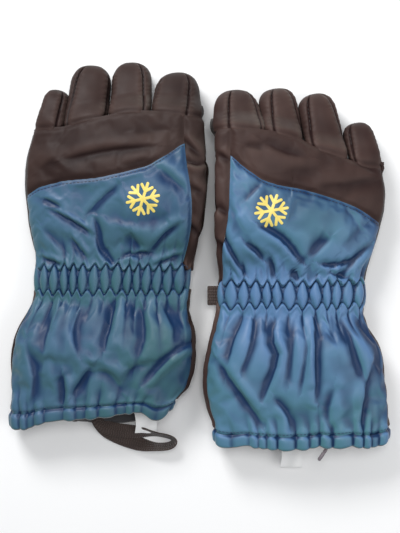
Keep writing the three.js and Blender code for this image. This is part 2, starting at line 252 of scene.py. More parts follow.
def distance_to_line(x, y, line):
    """(signed distance, share along) from every point to the nearest part of a polyline in the plane."""
    best = np.full(x.shape, np.inf)
    signed = np.zeros(x.shape)
    share = np.zeros(x.shape)
    line = np.array(line, float)
    lengths = np.linalg.norm(np.diff(line, axis=0), axis=1)
    start = 0.0
    for (ax, ay), (bx, by), length in zip(line[:-1], line[1:], lengths):
        ux, uy = (bx - ax) / length, (by - ay) / length
        t = np.clip((x - ax) * ux + (y - ay) * uy, 0, length)
        dx, dy = x - ax - t * ux, y - ay - t * uy
        d = np.hypot(dx, dy)
        nearer = d < best
        best = np.where(nearer, d, best)
        signed = np.where(nearer, np.sign(ux * dy - uy * dx) * d, signed)
        share = np.where(nearer, (start + t) / lengths.sum(), share)
        start += length
    return signed, share


# ---------------------------------------------------------------- forms


def tree_of(nodes):
    """A ray-casting tree of some CAD nodes together."""
    points, faces = [], []
    for node in nodes:
        mesh = frame["nodes"][node].data
        first = len(points)
        points += [v.co.copy() for v in mesh.vertices]
        faces += [[first + i for i in p.vertices] for p in mesh.polygons]
    return BVHTree.FromPolygons(points, faces)


class HandForm:
    """The outer surface of one glove's hand, wrist and cuff, as sections along Y."""

    STEP = 2 * MM
    NOTCH = 7  # steps; gaps between the hand and its fingers are narrower than twice this
    SHELLS = (
        "knuckle_panel",
        "back_panel",
        "palm_panel",
        "side_gusset",
        "wrist_sleeve",
        "cuff_back",
        "cuff_palm",
    )

    def __init__(self, name):
        self.name = name
        self.side = SIDES[name]
        shells = [f"{name}_{piece}" for piece in self.SHELLS]
        tree = tree_of(shells)
        halves = [f"{name}_{finger}_{half}" for finger in FINGERS for half in ("back", "palm")]
        wide = tree_of(shells + halves)
        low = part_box(f"{name}_hem_band")[0].y
        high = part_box(f"{name}_knuckle_panel")[1].y
        self.ys = np.arange(low, high + self.STEP, self.STEP)
        rows = np.array([self.read(tree, wide, y) for y in self.ys])
        for column in rows.T:
            found = np.isfinite(column)
            column[~found] = np.interp(self.ys[~found], self.ys[found], column[found])
        low, high = rows[:, 0] - rows[:, 1], rows[:, 0] + rows[:, 1]
        low, high = -closed_over(-low, self.NOTCH), closed_over(high, self.NOTCH)
        rows[:, 0], rows[:, 1] = (low + high) / 2, (high - low) / 2
        self.rows = np.stack([smoothed(column, 2.5) for column in rows.T], axis=-1)

    def read(self, tree, wide, y):
        """(middle x, half width, middle z, half height, slope) at y, NaN where cloth is missing."""
        far = 1.0
        heights = np.arange(4, 46, 2) * MM
        low = [wide.ray_cast(Vector((-far, y, z)), Vector((1, 0, 0)))[0] for z in heights]
        high = [wide.ray_cast(Vector((far, y, z)), Vector((-1, 0, 0)))[0] for z in heights]
        if not any(low) or not any(high):
            return [np.nan] * 5
        x0, x1 = min(hit.x for hit in low if hit), max(hit.x for hit in high if hit)
        x, a = (x0 + x1) / 2, (x1 - x0) / 2
        mids, halves = [], []
        for share in (-0.5, 0, 0.5):
            top = tree.ray_cast(Vector((x + share * a, y, far)), Vector((0, 0, -1)))[0]
            under = tree.ray_cast(Vector((x + share * a, y, -far)), Vector((0, 0, 1)))[0]
            if not top or not under or top.z - under.z < 18 * MM:
                return [x, a, np.nan, np.nan, np.nan]
            mids.append((top.z + under.z) / 2)
            halves.append((top.z - under.z) / 2)
        return [x, a, mids[1], halves[1], (mids[2] - mids[0]) / a]

    def section(self, y):
        return [np.interp(y, self.ys, column) for column in self.rows.T]

    def points(self, degrees, y, depth=0.0):
        """Points at angles round the form and places along it, at a depth below its surface."""
        x, a, z, b, slope = self.section(y)
        t = np.radians(degrees)
        dx = self.side * (a - depth) * rounded(np.cos(t), ROUNDNESS)
        dz = (b - depth) * rounded(np.sin(t), ROUNDNESS)
        height = np.maximum(z + slope * dx + dz, depth)
        return self.drawn_in(*np.broadcast_arrays(x + dx, y, height, np.sin(t)))

    def drawn_in(self, x, y, z, up):
        """The points with the mouth pulled out of square by its cord; up is 1 on the back, -1 on the palm."""
        mouth = CLOTH[self.name]["mouth"]
        start = mouth["start_mm"] * MM
        share = smoothstep((start - y) / (start - self.ys[0]))
        top = self.smooth_line(mouth["back_mm"], x)
        under = self.smooth_line(mouth["palm_mm"], x)
        back = smoothstep((up + 0.6) / 1.2)
        side_x, reach, amount = (v * MM for v in mouth["narrow_mm"])
        x = x + share * amount * smoothstep((x - side_x) / reach)
        return np.stack([x, y + share * (top * back + under * (1 - back)), z], axis=-1)

    @staticmethod
    def smooth_line(line, x):
        """A smooth curve through a list of x, y points in millimetres, read at x."""
        line = np.array(line) * MM
        fine = np.linspace(line[0, 0], line[-1, 0], 200)
        return np.interp(x, fine, smoothed(np.interp(fine, line[:, 0], line[:, 1]), 4))

    def heights(self, x, y):
        """The top and the underside of the form over points of the plane."""
        middle, a, z, b, slope = self.section(y)
        across = np.clip(np.abs(x - middle) / a, 0, 0.995)
        half = b * (1 - across**ROUNDNESS) ** (1 / ROUNDNESS)
        level = z + slope * np.clip(x - middle, -a, a)
        return level + half, np.maximum(level - half, 0.0)

    def arc(self, degrees, y):
        """Distance round the section at y from the thumb side to each angle."""
        fine = np.linspace(0, 360, 1441)
        ring = self.points(fine, np.full(fine.shape, y))
        run = np.concatenate([[0], np.cumsum(np.linalg.norm(np.diff(ring, axis=0), axis=1))])
        return np.interp(np.mod(degrees, 360), fine, run) + np.floor(np.asarray(degrees) / 360) * run[-1]

    def columns(self, start, stop, spacing, y):
        """Angles from start to stop whose points are evenly spaced round the section at y."""
        fine = np.linspace(start, stop, 1200)
        ring = self.points(fine, np.full(fine.shape, y))
        run = np.concatenate([[0], np.cumsum(np.linalg.norm(np.diff(ring, axis=0), axis=1))])
        count = max(4, int(round(run[-1] / spacing)) + 1)
        return np.interp(np.linspace(0, run[-1], count), run, fine)


class DigitForm:
    """The outer surface of a finger or thumb: a round-ended tube from its root to its tip."""

    def __init__(self, name, digit, nodes, joint):
        found = next(j for j in frame["joints"] if j["name"] == joint)
        axis = Vector(found["axis"])
        self.name = name
        self.side = SIDES[name]
        self.body = f"{name}_{digit}"
        self.along = np.array([-axis.y, axis.x, 0.0])
        if self.along[1] < 0:
            self.along = -self.along
        self.sideways = np.array([self.along[1], -self.along[0], 0.0])
        pivot = np.array(found["pos_m"], float)
        points = np.concatenate([[v.co[:] for v in frame["nodes"][node].data.vertices] for node in nodes])
        s = (points - pivot) @ self.along
        w = (points - pivot) @ self.sideways
        z = points[:, 2]
        self.length = s.max()
        root = s < 2 * MM
        shaft = (s > 0.45 * self.length) & (s < 0.62 * self.length)
        middle = s[shaft].mean() / self.length
        self.root_half = (np.ptp(w[root]) / 2, np.ptp(z[root]) / 2)
        shaft_half = (np.ptp(w[shaft]) / 2, np.ptp(z[shaft]) / 2)
        self.tip_half = tuple(r + (h - r) / middle for r, h in zip(self.root_half, shaft_half))
        tip_z = z[s > self.length - 0.5 * MM].mean()
        self.root = np.array([pivot[0], pivot[1], (z[root].max() + z[root].min()) / 2])
        self.tip = self.root + self.along * self.length
        self.tip[2] = tip_z
        self.cap = 1.1 * self.tip_half[0]

    def reach(self, count, start, crowd=0.55):
        """Places along the digit from start to the tip, closer together round the cap."""
        t = np.linspace(0, 1, count)
        straight = self.length - self.cap
        share = 1 - crowd
        body = start + (straight - start) * np.clip(t / share, 0, 1)
        turn = np.clip((t - share) / crowd, 0, 1) * math.pi / 2
        return np.where(t < share, body, straight + self.cap * np.sin(turn))

    def points(self, degrees, s, depth=0.0, swell=1.0):
        """Points at angles round the digit (90 is on its back) and places s along it."""
        t = s / self.length
        limit = self.length - depth
        into = np.clip((s - (self.length - self.cap)) / (self.cap - depth), 0, 1)
        s = np.minimum(s, limit)
        closing = (1 - into**TIP_ROUNDNESS) ** (1 / TIP_ROUNDNESS)
        a = ((self.root_half[0] + (self.tip_half[0] - self.root_half[0]) * t) * swell - depth) * closing
        b = (self.root_half[1] + (self.tip_half[1] - self.root_half[1]) * t - depth) * closing
        angle = np.radians(degrees)
        spine = self.root + (self.tip - self.root) * (s / self.length)[..., None]
        out = spine + self.sideways * (self.side * a * rounded(np.cos(angle), DIGIT_ROUNDNESS))[..., None]
        out[..., 2] = np.maximum(out[..., 2] + b * rounded(np.sin(angle), DIGIT_ROUNDNESS), depth)
        return out


FORMS = {}


def form(name):
    if name not in FORMS:
        FORMS[name] = HandForm(name)
    return FORMS[name]


# ---------------------------------------------------------------- gathers and folds

# Each glove's own cloth: where it is shirred, gathered and creased. Lines are x, y points in millimetres in
# the frame; a crease is (line, half width, depth, height of the ridge beside it, on its left or right).
CLOTH = {
    "left": {
        "rows_mm": (-2.0, -20.5),
        "gathers": 32,
        "seed": 11,
        "colour_seam_mm": [(-140, 54), (-127, 61.5), (-107, 66), (-80, 68), (-60, 72), (-40, 77),
                           (-26, 85.5), (-12, 95.5)],
        "badge": {"at_mm": (-43.5, 51), "turn": 12, "size_mm": 25},
        "gusset_line": [(-20, 30), (-4, 30), (22, 28), (44, 33), (70, 41), (95, 44.5), (125, 44.5)],
        "mouth": {
            "start_mm": -96,
            "narrow_mm": (-60, 45, -9),
            "back_mm": [(-152, -6), (-136, -7), (-127, -2), (-110, 1), (-91, 2), (-79, 3.5), (-63, 5.5),
                        (-47, 7.5), (-39, 6), (-31, 0), (-22, 0), (-15, 7), (-5, 14)],
            "palm_mm": [(-152, -6), (-136, -6), (-127, -2), (-91, -5), (-63, -6), (-45, -3), (-31, 1),
                        (-15, 7), (-5, 14)],
        },
        "knuckle_line_mm": [(-140, 106), (-124, 107.5), (-106.5, 107.5), (-89.5, 113), (-72.5, 115.6),
                            (-55.5, 119.6), (-37.5, 119), (-18, 117.5), (8, 115)],
        "back": [
            ([(-122, 52), (-108, 45)], 2.4, 2.6, 0.6, 1),
            ([(-117, 44), (-98, 33), (-83, 23)], 1.8, 2.0, 1.4, 1),
            ([(-64, 62), (-76, 51), (-88, 39)], 2.4, 2.2, 0.5, -1),
            ([(-81, 37), (-79, 22), (-77, 12), (-65, -2)], 2.6, 3.2, 1.0, -1),
            ([(-62, 5), (-55, 8), (-47, 6)], 1.6, 1.8, 0.8, -1),
            ([(-50, 9), (-39, 10)], 1.6, 2.0, 0.8, 1),
            ([(-38, 11), (-27, 24), (-15, 33)], 2.2, 2.2, 1.2, 1),
            ([(-36, 0), (-27, 4), (-15, 8)], 1.8, 2.0, 1.0, 1),
            ([(-55, 25), (-47, 11)], 5.0, 2.4, 0.4, 1),
            ([(-124, 6), (-108, 0)], 1.8, 2.2, 1.0, 1),
            ([(-102, 22), (-88, 5)], 2.2, 1.8, 1.0, 1),
            ([(-122, 30), (-106, 12)], 4.0, 1.5, 0.6, -1),
            ([(-72, 38), (-40, 34), (-16, 46)], 7.0, 1.4, 0.5, -1),
            ([(-30, 74), (-12, 58)], 4.0, 1.3, 0.5, 1),
        ],
        "gusset": [
            ([(-14, 100), (-6, 92), (2, 84)], 2.6, 1.6, 1.0, 1),
            ([(-12, 82), (-2, 78), (6, 80)], 2.2, 1.8, 1.0, -1),
            ([(-8, 62), (4, 54)], 3.0, 1.4, 0.8, 1),
            ([(-10, 34), (0, 24)], 3.0, 1.6, 0.8, 1),
        ],
        "knuckle": [
            ([(-107, 82), (-70, 89), (-33, 92)], 3.4, 1.7, 0.9, 1),
            ([(-126, 74), (-110, 84)], 4.0, 1.0, 0.4, 1),
            ([(-60, 76), (-36, 82)], 4.5, 1.1, 0.4, 1),
            ([(-50, 104), (-24, 106)], 4.0, 0.9, 0.3, -1),
        ],
        "cuff": [
            ([(-67, -27), (-70, -46), (-74, -65)], 3.0, 3.4, 1.4, 1),
            ([(-7, -62), (-23, -70), (-44, -93)], 2.6, 2.6, 1.6, 1),
            ([(-84, -80), (-99, -102)], 3.2, 2.6, 1.8, -1),
            ([(-107, -86), (-106, -100), (-107, -110)], 2.6, 2.8, 1.4, 1),
            ([(-112, -28), (-120, -50), (-122, -74)], 4.0, 2.0, 1.0, 1),
            ([(-92, -28), (-96, -52), (-93, -70)], 3.0, 1.8, 1.0, -1),
            ([(-48, -28), (-44, -52), (-50, -78)], 3.6, 2.0, 1.0, 1),
            ([(-28, -28), (-20, -48), (-20, -62)], 3.4, 2.0, 1.0, -1),
            ([(-62, -100), (-54, -84), (-40, -76)], 4.4, 1.6, 0.8, 1),
            ([(-134, -60), (-128, -86), (-132, -108)], 4.0, 2.0, 1.0, -1),
            ([(-80, -84), (-70, -86), (-62, -98)], 4.0, 1.6, 1.0, 1),
        ],
    },
    "right": {
        "rows_mm": (-14.5, -31.5),
        "gathers": 27,
        "seed": 29,
        "colour_seam_mm": [(20, 89), (34, 76.5), (49, 66), (62, 62), (80, 59), (98, 54), (112, 49.5),
                           (124, 45), (136, 38), (150, 30)],
        "badge": {"at_mm": (55.5, 42), "turn": 10, "size_mm": 25},
        "gusset_line": [(-30, 12), (-14, 12), (8, 24), (30, 35), (60, 37), (87, 40), (115, 40)],
        "mouth": {
            "start_mm": -112,
            "narrow_mm": (200, 45, 0),
            "back_mm": [(0, 8), (10, 4), (16, 0), (28, -1), (36, 2.4), (43, 0), (66, -1.5), (88, -0.5),
                        (95, 2.4), (101, 0), (111, 0), (118, 2.4), (124, 0), (140, -0.5), (148, 3), (156, 8)],
            "palm_mm": [(0, 8), (10, 4), (16, 1), (60, 1), (140, 1), (148, 3), (156, 8)],
        },
        "knuckle_line_mm": [(0, 103), (10, 105.5), (28, 106.5), (50, 103.6), (66, 101.6), (80, 97),
                            (87, 91.6), (101, 88), (117, 81.5), (132, 78), (150, 77)],
        "back": [
            ([(47, 31), (64, 21), (80, 3)], 3.0, 3.2, 1.4, -1),
            ([(36, 18), (44, 11), (50, 4)], 2.2, 2.4, 0.8, -1),
            ([(15, 27), (27, 7), (37, -8)], 2.2, 2.6, 1.0, -1),
            ([(55, 7), (58, -2), (60, -11)], 2.2, 2.2, 0.8, 1),
            ([(93, 2), (105, 0), (120, 4)], 2.2, 2.4, 1.4, -1),
            ([(101, 22), (93, 15), (85, 7)], 4.6, 2.6, 0.8, 1),
            ([(135, 17), (121, 3), (110, -10)], 2.6, 2.2, 1.2, 1),
            ([(47, 63), (35, 50)], 2.0, 1.0, 0.3, 1),
            ([(74, -2), (78, -12)], 2.4, 2.0, 0.8, 1),
            ([(100, -3), (108, -8), (118, -10)], 2.0, 1.8, 1.0, -1),
            ([(22, 52), (30, 30), (44, 16)], 5.0, 1.2, 0.4, 1),
            ([(128, 30), (112, 14)], 6.0, 1.3, 0.5, -1),
        ],
        "gusset": [
            ([(14, 88), (24, 80)], 3.0, 1.4, 0.8, 1),
            ([(12, 46), (22, 38)], 3.0, 1.6, 0.8, -1),
            ([(12, 20), (22, 10)], 3.0, 1.6, 0.8, 1),
        ],
        "knuckle": [
            ([(50, 96), (66, 88), (84, 84)], 4.0, 1.3, 0.7, -1),
            ([(92, 60), (112, 62), (136, 66)], 5.0, 1.3, 0.6, 1),
            ([(36, 93), (50, 90)], 3.0, 1.0, 0.4, -1),
            ([(124, 80), (140, 74)], 4.0, 0.9, 0.4, -1),
            ([(70, 72), (96, 74)], 6.0, 0.8, 0.4, 1),
        ],
        "cuff": [
            ([(59, -42), (57, -58), (61, -73), (49, -106)], 3.0, 3.2, 1.6, 1),
            ([(91, -40), (91, -70), (92, -106)], 3.0, 2.8, 1.4, -1),
            ([(85, -58), (82, -80), (79, -99)], 2.0, 1.6, 0.8, 1),
            ([(111, -42), (120, -66), (129, -93)], 3.2, 2.8, 1.4, 1),
            ([(15, -75), (32, -100), (49, -125)], 3.4, 2.6, 1.4, 1),
            ([(134, -79), (130, -104), (128, -130)], 3.2, 2.4, 1.2, -1),
            ([(34, -40), (26, -60), (22, -84)], 3.6, 2.0, 1.0, 1),
            ([(44, -42), (42, -62), (34, -84)], 2.8, 1.8, 1.0, -1),
            ([(74, -44), (72, -66), (70, -90)], 3.6, 1.6, 0.8, 1),
            ([(104, -96), (100, -116), (104, -132)], 3.6, 1.8, 1.0, 1),
            ([(60, -104), (70, -118), (72, -132)], 3.0, 1.6, 1.0, -1),
            ([(126, -42), (138, -62), (142, -82)], 3.4, 2.0, 1.0, 1),
        ],
    },
}


def rows_of(name):
    return [y * MM for y in CLOTH[name]["rows_mm"]]


ZIGZAG = 2.6 * MM  # how far the rows of stitches run up and down between the puffs


def gather_phase(name, degrees):
    """Where an angle lies in the run of gathers: whole numbers lie between two puffs."""
    cloth = CLOTH[name]
    hand = form(name)
    middle = sum(rows_of(name)) / 2
    turn = hand.arc(degrees, middle) / hand.arc(360.0, middle)
    wobble = 0.12 * np.sin(2 * math.pi * 5 * turn + 1.0) + 0.05 * np.sin(2 * math.pi * 11 * turn)
    return turn * cloth["gathers"] + wobble


def row_line(name, degrees, row):
    """y of a row of shirring stitches, which runs out round each puff and in between them."""
    cloth = CLOTH[name]
    rng = np.random.default_rng(cloth["seed"] + row)
    phase = gather_phase(name, degrees)
    count = cloth["gathers"]
    uneven = rng.uniform(-0.9, 0.9, count + 1) * MM
    base = np.interp(np.mod(phase, count), np.arange(count + 1), uneven)
    out = 1 if row == UPPER else -1
    return rows_of(name)[row] + base - out * ZIGZAG * np.cos(2 * math.pi * phase)


def gathers(name, degrees, y):
    """Rise of the shirring: puffs between the stitch rows, pleats that fade away above and below them."""
    cloth = CLOTH[name]
    rng = np.random.default_rng(cloth["seed"])
    count = cloth["gathers"]
    phase = gather_phase(name, degrees)
    upper, lower = row_line(name, degrees, UPPER), row_line(name, degrees, LOWER)
    puff_at = np.floor(phase).astype(int) % count
    within = phase - np.floor(phase) - 0.5
    lean = rng.uniform(-0.2, 0.2, count)[puff_at]
    full = rng.uniform(0.7, 1.2, count)[puff_at]
    inside = np.clip((y - lower) / (upper - lower), 0, 1)
    belly = np.sin(math.pi * inside)
    half = 0.16 + 0.33 * belly**0.7
    offset = (within - lean * (inside - 0.5)) / half
    puff = belly**0.6 * np.clip(1 - offset**2, 0, 1) ** 0.75
    rise = settings().puff_height * full * puff
    pleat_at = np.floor(phase + 0.5).astype(int) % count
    between = phase + 0.5 - np.floor(phase + 0.5) - 0.5
    for distance, shortest, longest in ((y - upper, 4, 14), (lower - y, 5, 24)):
        reach = rng.uniform(shortest, longest, count)[pleat_at] * MM
        height = rng.uniform(0.55, 1.25, count)[pleat_at]
        slant = rng.uniform(-0.5, 0.5, count)[pleat_at]
        distance = np.clip(distance, 0, None)
        side = (between - slant * distance / (30 * MM)) / 0.5
        ridge = np.clip(1 - side**2, 0, 1) ** 0.85
        start = smoothstep(distance / (2.4 * MM))
        rise = rise + settings().pleat_height * height * ridge * start * np.exp(-((distance / reach) ** 1.4))
    for line in (upper, lower):
        rise = rise - 0.8 * MM * bump(y - line, 1.0 * MM)
    return rise


def creased(x, y, creases):
    """Height that a list of creases adds at points of the plane."""
    rise = np.zeros(x.shape)
    for line, width, depth, ridge, hand in creases:
        distance, share = distance_to_line(x, y, curve_through(np.array(line) * MM, 8))
        width, depth, ridge = 0.78 * width * MM, depth * MM, ridge * MM
        taper = np.sin(math.pi * np.clip(share * 0.94 + 0.03, 0, 1)) ** 0.6
        across = hand * distance
        valley = bump(across, np.where(across < 0, 1.9 * width, 0.8 * width))
        rise += taper * (ridge * bump(across - 2.2 * width, 1.7 * width) - depth * valley)
    return rise


def drape(x, y, seed, amount=0.5 * MM):
    """Soft unevenness that all the nylon has."""
    long = value_noise(x + 0.4 * y, y, 17 * MM, seed)
    short = value_noise(x, y - 0.3 * x, 7 * MM, seed + 1)
    return amount * (0.8 * long + 0.3 * short)


# ---------------------------------------------------------------- cloth


def hang(points, growth, cap, frames=18, pressure=1.2):
    """Lets cloth with spare length buckle between its seams, and returns where it comes to rest.

    Every third point is simulated, and the points between them follow.
    """
    row_at, column_at = thinned(points.shape[0]), thinned(points.shape[1])
    coarse = points[np.ix_(row_at, column_at)]
    rows, columns = coarse.shape[:2]
    index = np.arange(rows * columns).reshape(rows, columns)
    quads = np.stack([index[:-1, :-1], index[:-1, 1:], index[1:, 1:], index[1:, :-1]], -1).reshape(-1, 4)
    mesh = bpy.data.meshes.new("hanging")
    mesh.from_pydata(coarse.reshape(-1, 3), [], quads.tolist())
    piece = placed("hanging", mesh)
    held = piece.vertex_groups.new(name="held")
    firm = np.round(held_edges(coarse, 6 * MM), 1).reshape(-1)
    for weight in np.unique(firm[firm > 0]):
        held.add(np.flatnonzero(firm == weight).tolist(), float(weight), "REPLACE")
    cloth = piece.modifiers.new("Cloth", "CLOTH")
    s = cloth.settings
    s.quality = 5
    s.mass = 0.2
    s.tension_stiffness = 15
    s.compression_stiffness = 8
    s.shear_stiffness = 5
    s.bending_stiffness = 0.8
    s.air_damping = 2
    s.shrink_min = -growth
    s.vertex_group_mass = "held"
    s.use_pressure = True
    s.uniform_pressure_force = pressure
    s.effector_weights.gravity = 0
    cloth.collision_settings.use_collision = False
    cloth.point_cache.frame_start = 1
    cloth.point_cache.frame_end = frames
    scene = bpy.context.scene
    for step in range(1, frames + 1):
        scene.frame_set(step)
    shape = piece.evaluated_get(bpy.context.evaluated_depsgraph_get()).to_mesh()
    moved = np.zeros(len(shape.vertices) * 3)
    shape.vertices.foreach_get("co", moved)
    scene.frame_set(1)
    bpy.data.objects.remove(piece)
    bpy.data.meshes.remove(mesh)
    shift = moved.reshape(coarse.shape) - coarse
    length = np.linalg.norm(shift, axis=2, keepdims=True)
    if not np.isfinite(length).all():
        raise RuntimeError("the cloth simulation blew up")
    shift = shift * np.minimum(1, cap / np.maximum(length, 1e-9))
    return points + spread(shift, row_at, column_at, points.shape)


def thinned(count, step=3):
    return np.unique(np.linspace(0, count - 1, max(4, count // step)).round().astype(int))


def spread(values, row_at, column_at, shape):
    """Values at some rows and columns of a grid, spread smoothly over the whole of it."""
    rows = np.arange(shape[0])
    columns = np.arange(shape[1])
    full = np.zeros(shape)
    for axis in range(3):
        wide = np.array([np.interp(columns, column_at, line) for line in values[..., axis]])
        tall = np.array([np.interp(rows, row_at, line) for line in wide.T]).T
        tall = np.apply_along_axis(smoothed, 0, tall, 1.2)
        full[..., axis] = np.apply_along_axis(smoothed, 1, tall, 1.2)
    return full


def held_edges(points, reach):
    """Pin weights: 1 at the edges of a grid, nothing past reach from them."""
    rows, columns = points.shape[:2]
    row_length = np.linalg.norm(np.diff(points, axis=0), axis=2).mean()
    column_length = np.linalg.norm(np.diff(points, axis=1), axis=2).mean()
    j = np.minimum(np.arange(rows), np.arange(rows)[::-1]) * row_length
    i = np.minimum(np.arange(columns), np.arange(columns)[::-1]) * column_length
    return 1 - smoothstep(np.minimum(j[:, None], i[None, :]) / reach)


def wall_object(name, outer, thickness, closed=False, pole=False, relief=None):
    """A closed wall of one thickness whose outer face is a grid of points. pole closes the last row."""
    rows, columns = outer.shape[:2]
    normals = grid_normals(outer, SIDES[name.split("_")[0]], closed)
    if pole:
        normals[-1] = normals[-1].mean(0) / max(np.linalg.norm(normals[-1].mean(0)), 1e-9)
    inner = outer - normals * thickness
    inner[..., 2] = np.maximum(inner[..., 2], min(0.0004, outer[..., 2].min() + 0.0002))
    points = np.concatenate([outer.reshape(-1, 3), inner.reshape(-1, 3)])
    front = np.arange(rows * columns).reshape(rows, columns)
    if pole:
        front[-1, :] = front[-1, 0]
    if closed:
        front = np.concatenate([front, front[:, :1]], axis=1)
    back = front + rows * columns
    last = front.shape[1] - 1
    quads = []

    def add(a, b, c, d):
        quads.append(np.stack([a.ravel(), b.ravel(), c.ravel(), d.ravel()], -1))

    add(front[:-1, :-1], front[:-1, 1:], front[1:, 1:], front[1:, :-1])
    add(back[1:, :-1], back[1:, 1:], back[:-1, 1:], back[:-1, :-1])
    add(front[0, 1:], front[0, :-1], back[0, :-1], back[0, 1:])
    if not pole:
        add(front[-1, :-1], front[-1, 1:], back[-1, 1:], back[-1, :-1])
    if not closed:
        add(front[:-1, 0], front[1:, 0], back[1:, 0], back[:-1, 0])
        add(front[1:, last], front[:-1, last], back[:-1, last], back[1:, last])
    quads = np.concatenate(quads)
    faces = []
    for quad in quads.tolist():
        corners = [v for k, v in enumerate(quad) if v != quad[k - 1]]
        if len(corners) > 2:
            faces.append(corners)
    used = np.unique(np.concatenate([np.array(f) for f in faces]))
    renumber = np.full(len(points), -1)
    renumber[used] = np.arange(len(used))
    points = points[used]
    faces = [[int(renumber[v]) for v in f] for f in faces]
    if volume_of(points, faces) < 0:
        faces = [f[::-1] for f in faces]
    mesh = bpy.data.meshes.new(name)
    mesh.from_pydata(points, [], faces)
    mesh.update()
    heights = np.zeros((rows, columns)) if relief is None else relief
    # lean is how the cloth faces, which the nylon finishes use for painted sheen and painted highlight
    for label, grid in (("relief", heights), ("lean", normals @ SHEEN_FACING)):
        values = np.concatenate([grid.reshape(-1), grid.reshape(-1)])[used]
        attribute = mesh.attributes.new(label, "FLOAT", "POINT")
        attribute.data.foreach_set("value", values.astype(np.float32))
    mesh.shade_smooth()
    mesh.set_sharp_from_angle(angle=math.radians(60))
    return placed(name, mesh)


def placed(name, mesh):
    """An object for a mesh, linked to the scene."""
    piece = bpy.data.objects.new(name, mesh)
    bpy.context.collection.objects.link(piece)
    return piece


def volume_of(points, faces):
    """Signed volume inside closed faces."""
    first = np.array([[f[0], f[k], f[k + 1]] for f in faces for k in range(1, len(f) - 1)])
    a, b, c = (points[first[:, k]] for k in range(3))
    return np.einsum("ij,ij->i", a, np.cross(b, c)).sum() / 6


def edge_dip(points, left=True, right=True, start=True, stop=True):
    """Depth by which a panel's edges turn down into their seams."""
    s = settings()
    rows, columns = points.shape[:2]
    down, over = (np.linalg.norm(np.diff(points, axis=axis), axis=2) for axis in (0, 1))
    along = np.concatenate([np.zeros((1, columns)), np.cumsum(down, 0)])
    across = np.concatenate([np.zeros((rows, 1)), np.cumsum(over, 1)], 1)
    dip = np.zeros((rows, columns))
    for wanted, distance in (
        (left, across),
        (right, across[:, -1:] - across),
        (start, along),
        (stop, along[-1:] - along),
    ):
        if wanted:
            dip = np.maximum(dip, s.seam_depth * bump(distance, s.seam_reach))
    return dip


def relief_of(rise):
    """How far each point stands over the cloth round it, in millimetres, for shading ridges and valleys."""
    total = np.zeros(rise.shape)
    for reach, share in ((3.0, 0.6), (9.0, 0.7)):
        blurred = np.apply_along_axis(smoothed, 0, rise, reach)
        total += share * (rise - np.apply_along_axis(smoothed, 1, blurred, reach))
    return np.clip(total / MM, -2, 2)


def finish_piece(piece, material, nodes, body):
    if not piece.data.materials:
        piece.data.materials.append(material)
    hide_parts(*nodes)
    if body:
        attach(piece, body)
    return piece


def gusset_seam(name, y):
    """Angle of the gusset's seam, which comes round towards the thumb side at the wrist."""
    places, angles = zip(*CLOTH[name]["gusset_line"])
    fine = np.linspace(places[0], places[-1], 120)
    return np.interp(y / MM, fine, smoothed(np.interp(fine, places, angles), 8))


def narrowed(hand, columns, y):
    """Angles of a hand panel's columns, moved with the gusset's seam."""
    seam = gusset_seam(hand.name, y)
    if columns[-1] > SEAM["gusset"] + 1:
        fixed = columns[-1]
        return fixed - (fixed - columns) * (fixed - seam) / (fixed - SEAM["gusset"])
    fixed = columns[0]
    return fixed + (columns - fixed) * (seam - fixed) / (SEAM["gusset"] - fixed)


def panel_points(hand, columns, start, stop, spacing, depth=0.0, by_gusset=False):
    """A grid over the form between two places along it, which may differ from column to column."""
    start = np.broadcast_to(start, columns.shape)
    stop = np.broadcast_to(stop, columns.shape)
    count = max(4, int(round((stop - start).max() / spacing)) + 1)
    share = np.linspace(0, 1, count)[:, None]
    y = start + (stop - start) * share
    degrees = narrowed(hand, columns, y) if by_gusset else np.broadcast_to(columns, y.shape)
    return hand.points(degrees, y, depth), degrees, y


# ---------------------------------------------------------------- materials


class Val:
    """A number socket that can be used in Python expressions."""

    def __init__(self, tree, socket):
        self.tree = tree
        self.socket = socket

    def _math(self, operation, *values):
        node = self.tree.nodes.new("ShaderNodeMath")
        node.operation = operation
        for socket, value in zip(node.inputs, values):
            if isinstance(value, Val):
                self.tree.links.new(value.socket, socket)
            else:
                socket.default_value = value
        return Val(self.tree, node.outputs[0])

    def __add__(self, other):
        return self._math("ADD", self, other)

    __radd__ = __add__

    def __sub__(self, other):
        return self._math("SUBTRACT", self, other)

    def __rsub__(self, other):
        return self._math("SUBTRACT", other, self)

    def __mul__(self, other):
        return self._math("MULTIPLY", self, other)

    __rmul__ = __mul__

    def clipped(self):
        return self._math("MINIMUM", self._math("MAXIMUM", self, 0.0), 1.0)

    def sine(self):
        return self._math("SINE", self)

    def absolute(self):
        return self._math("ABSOLUTE", self)


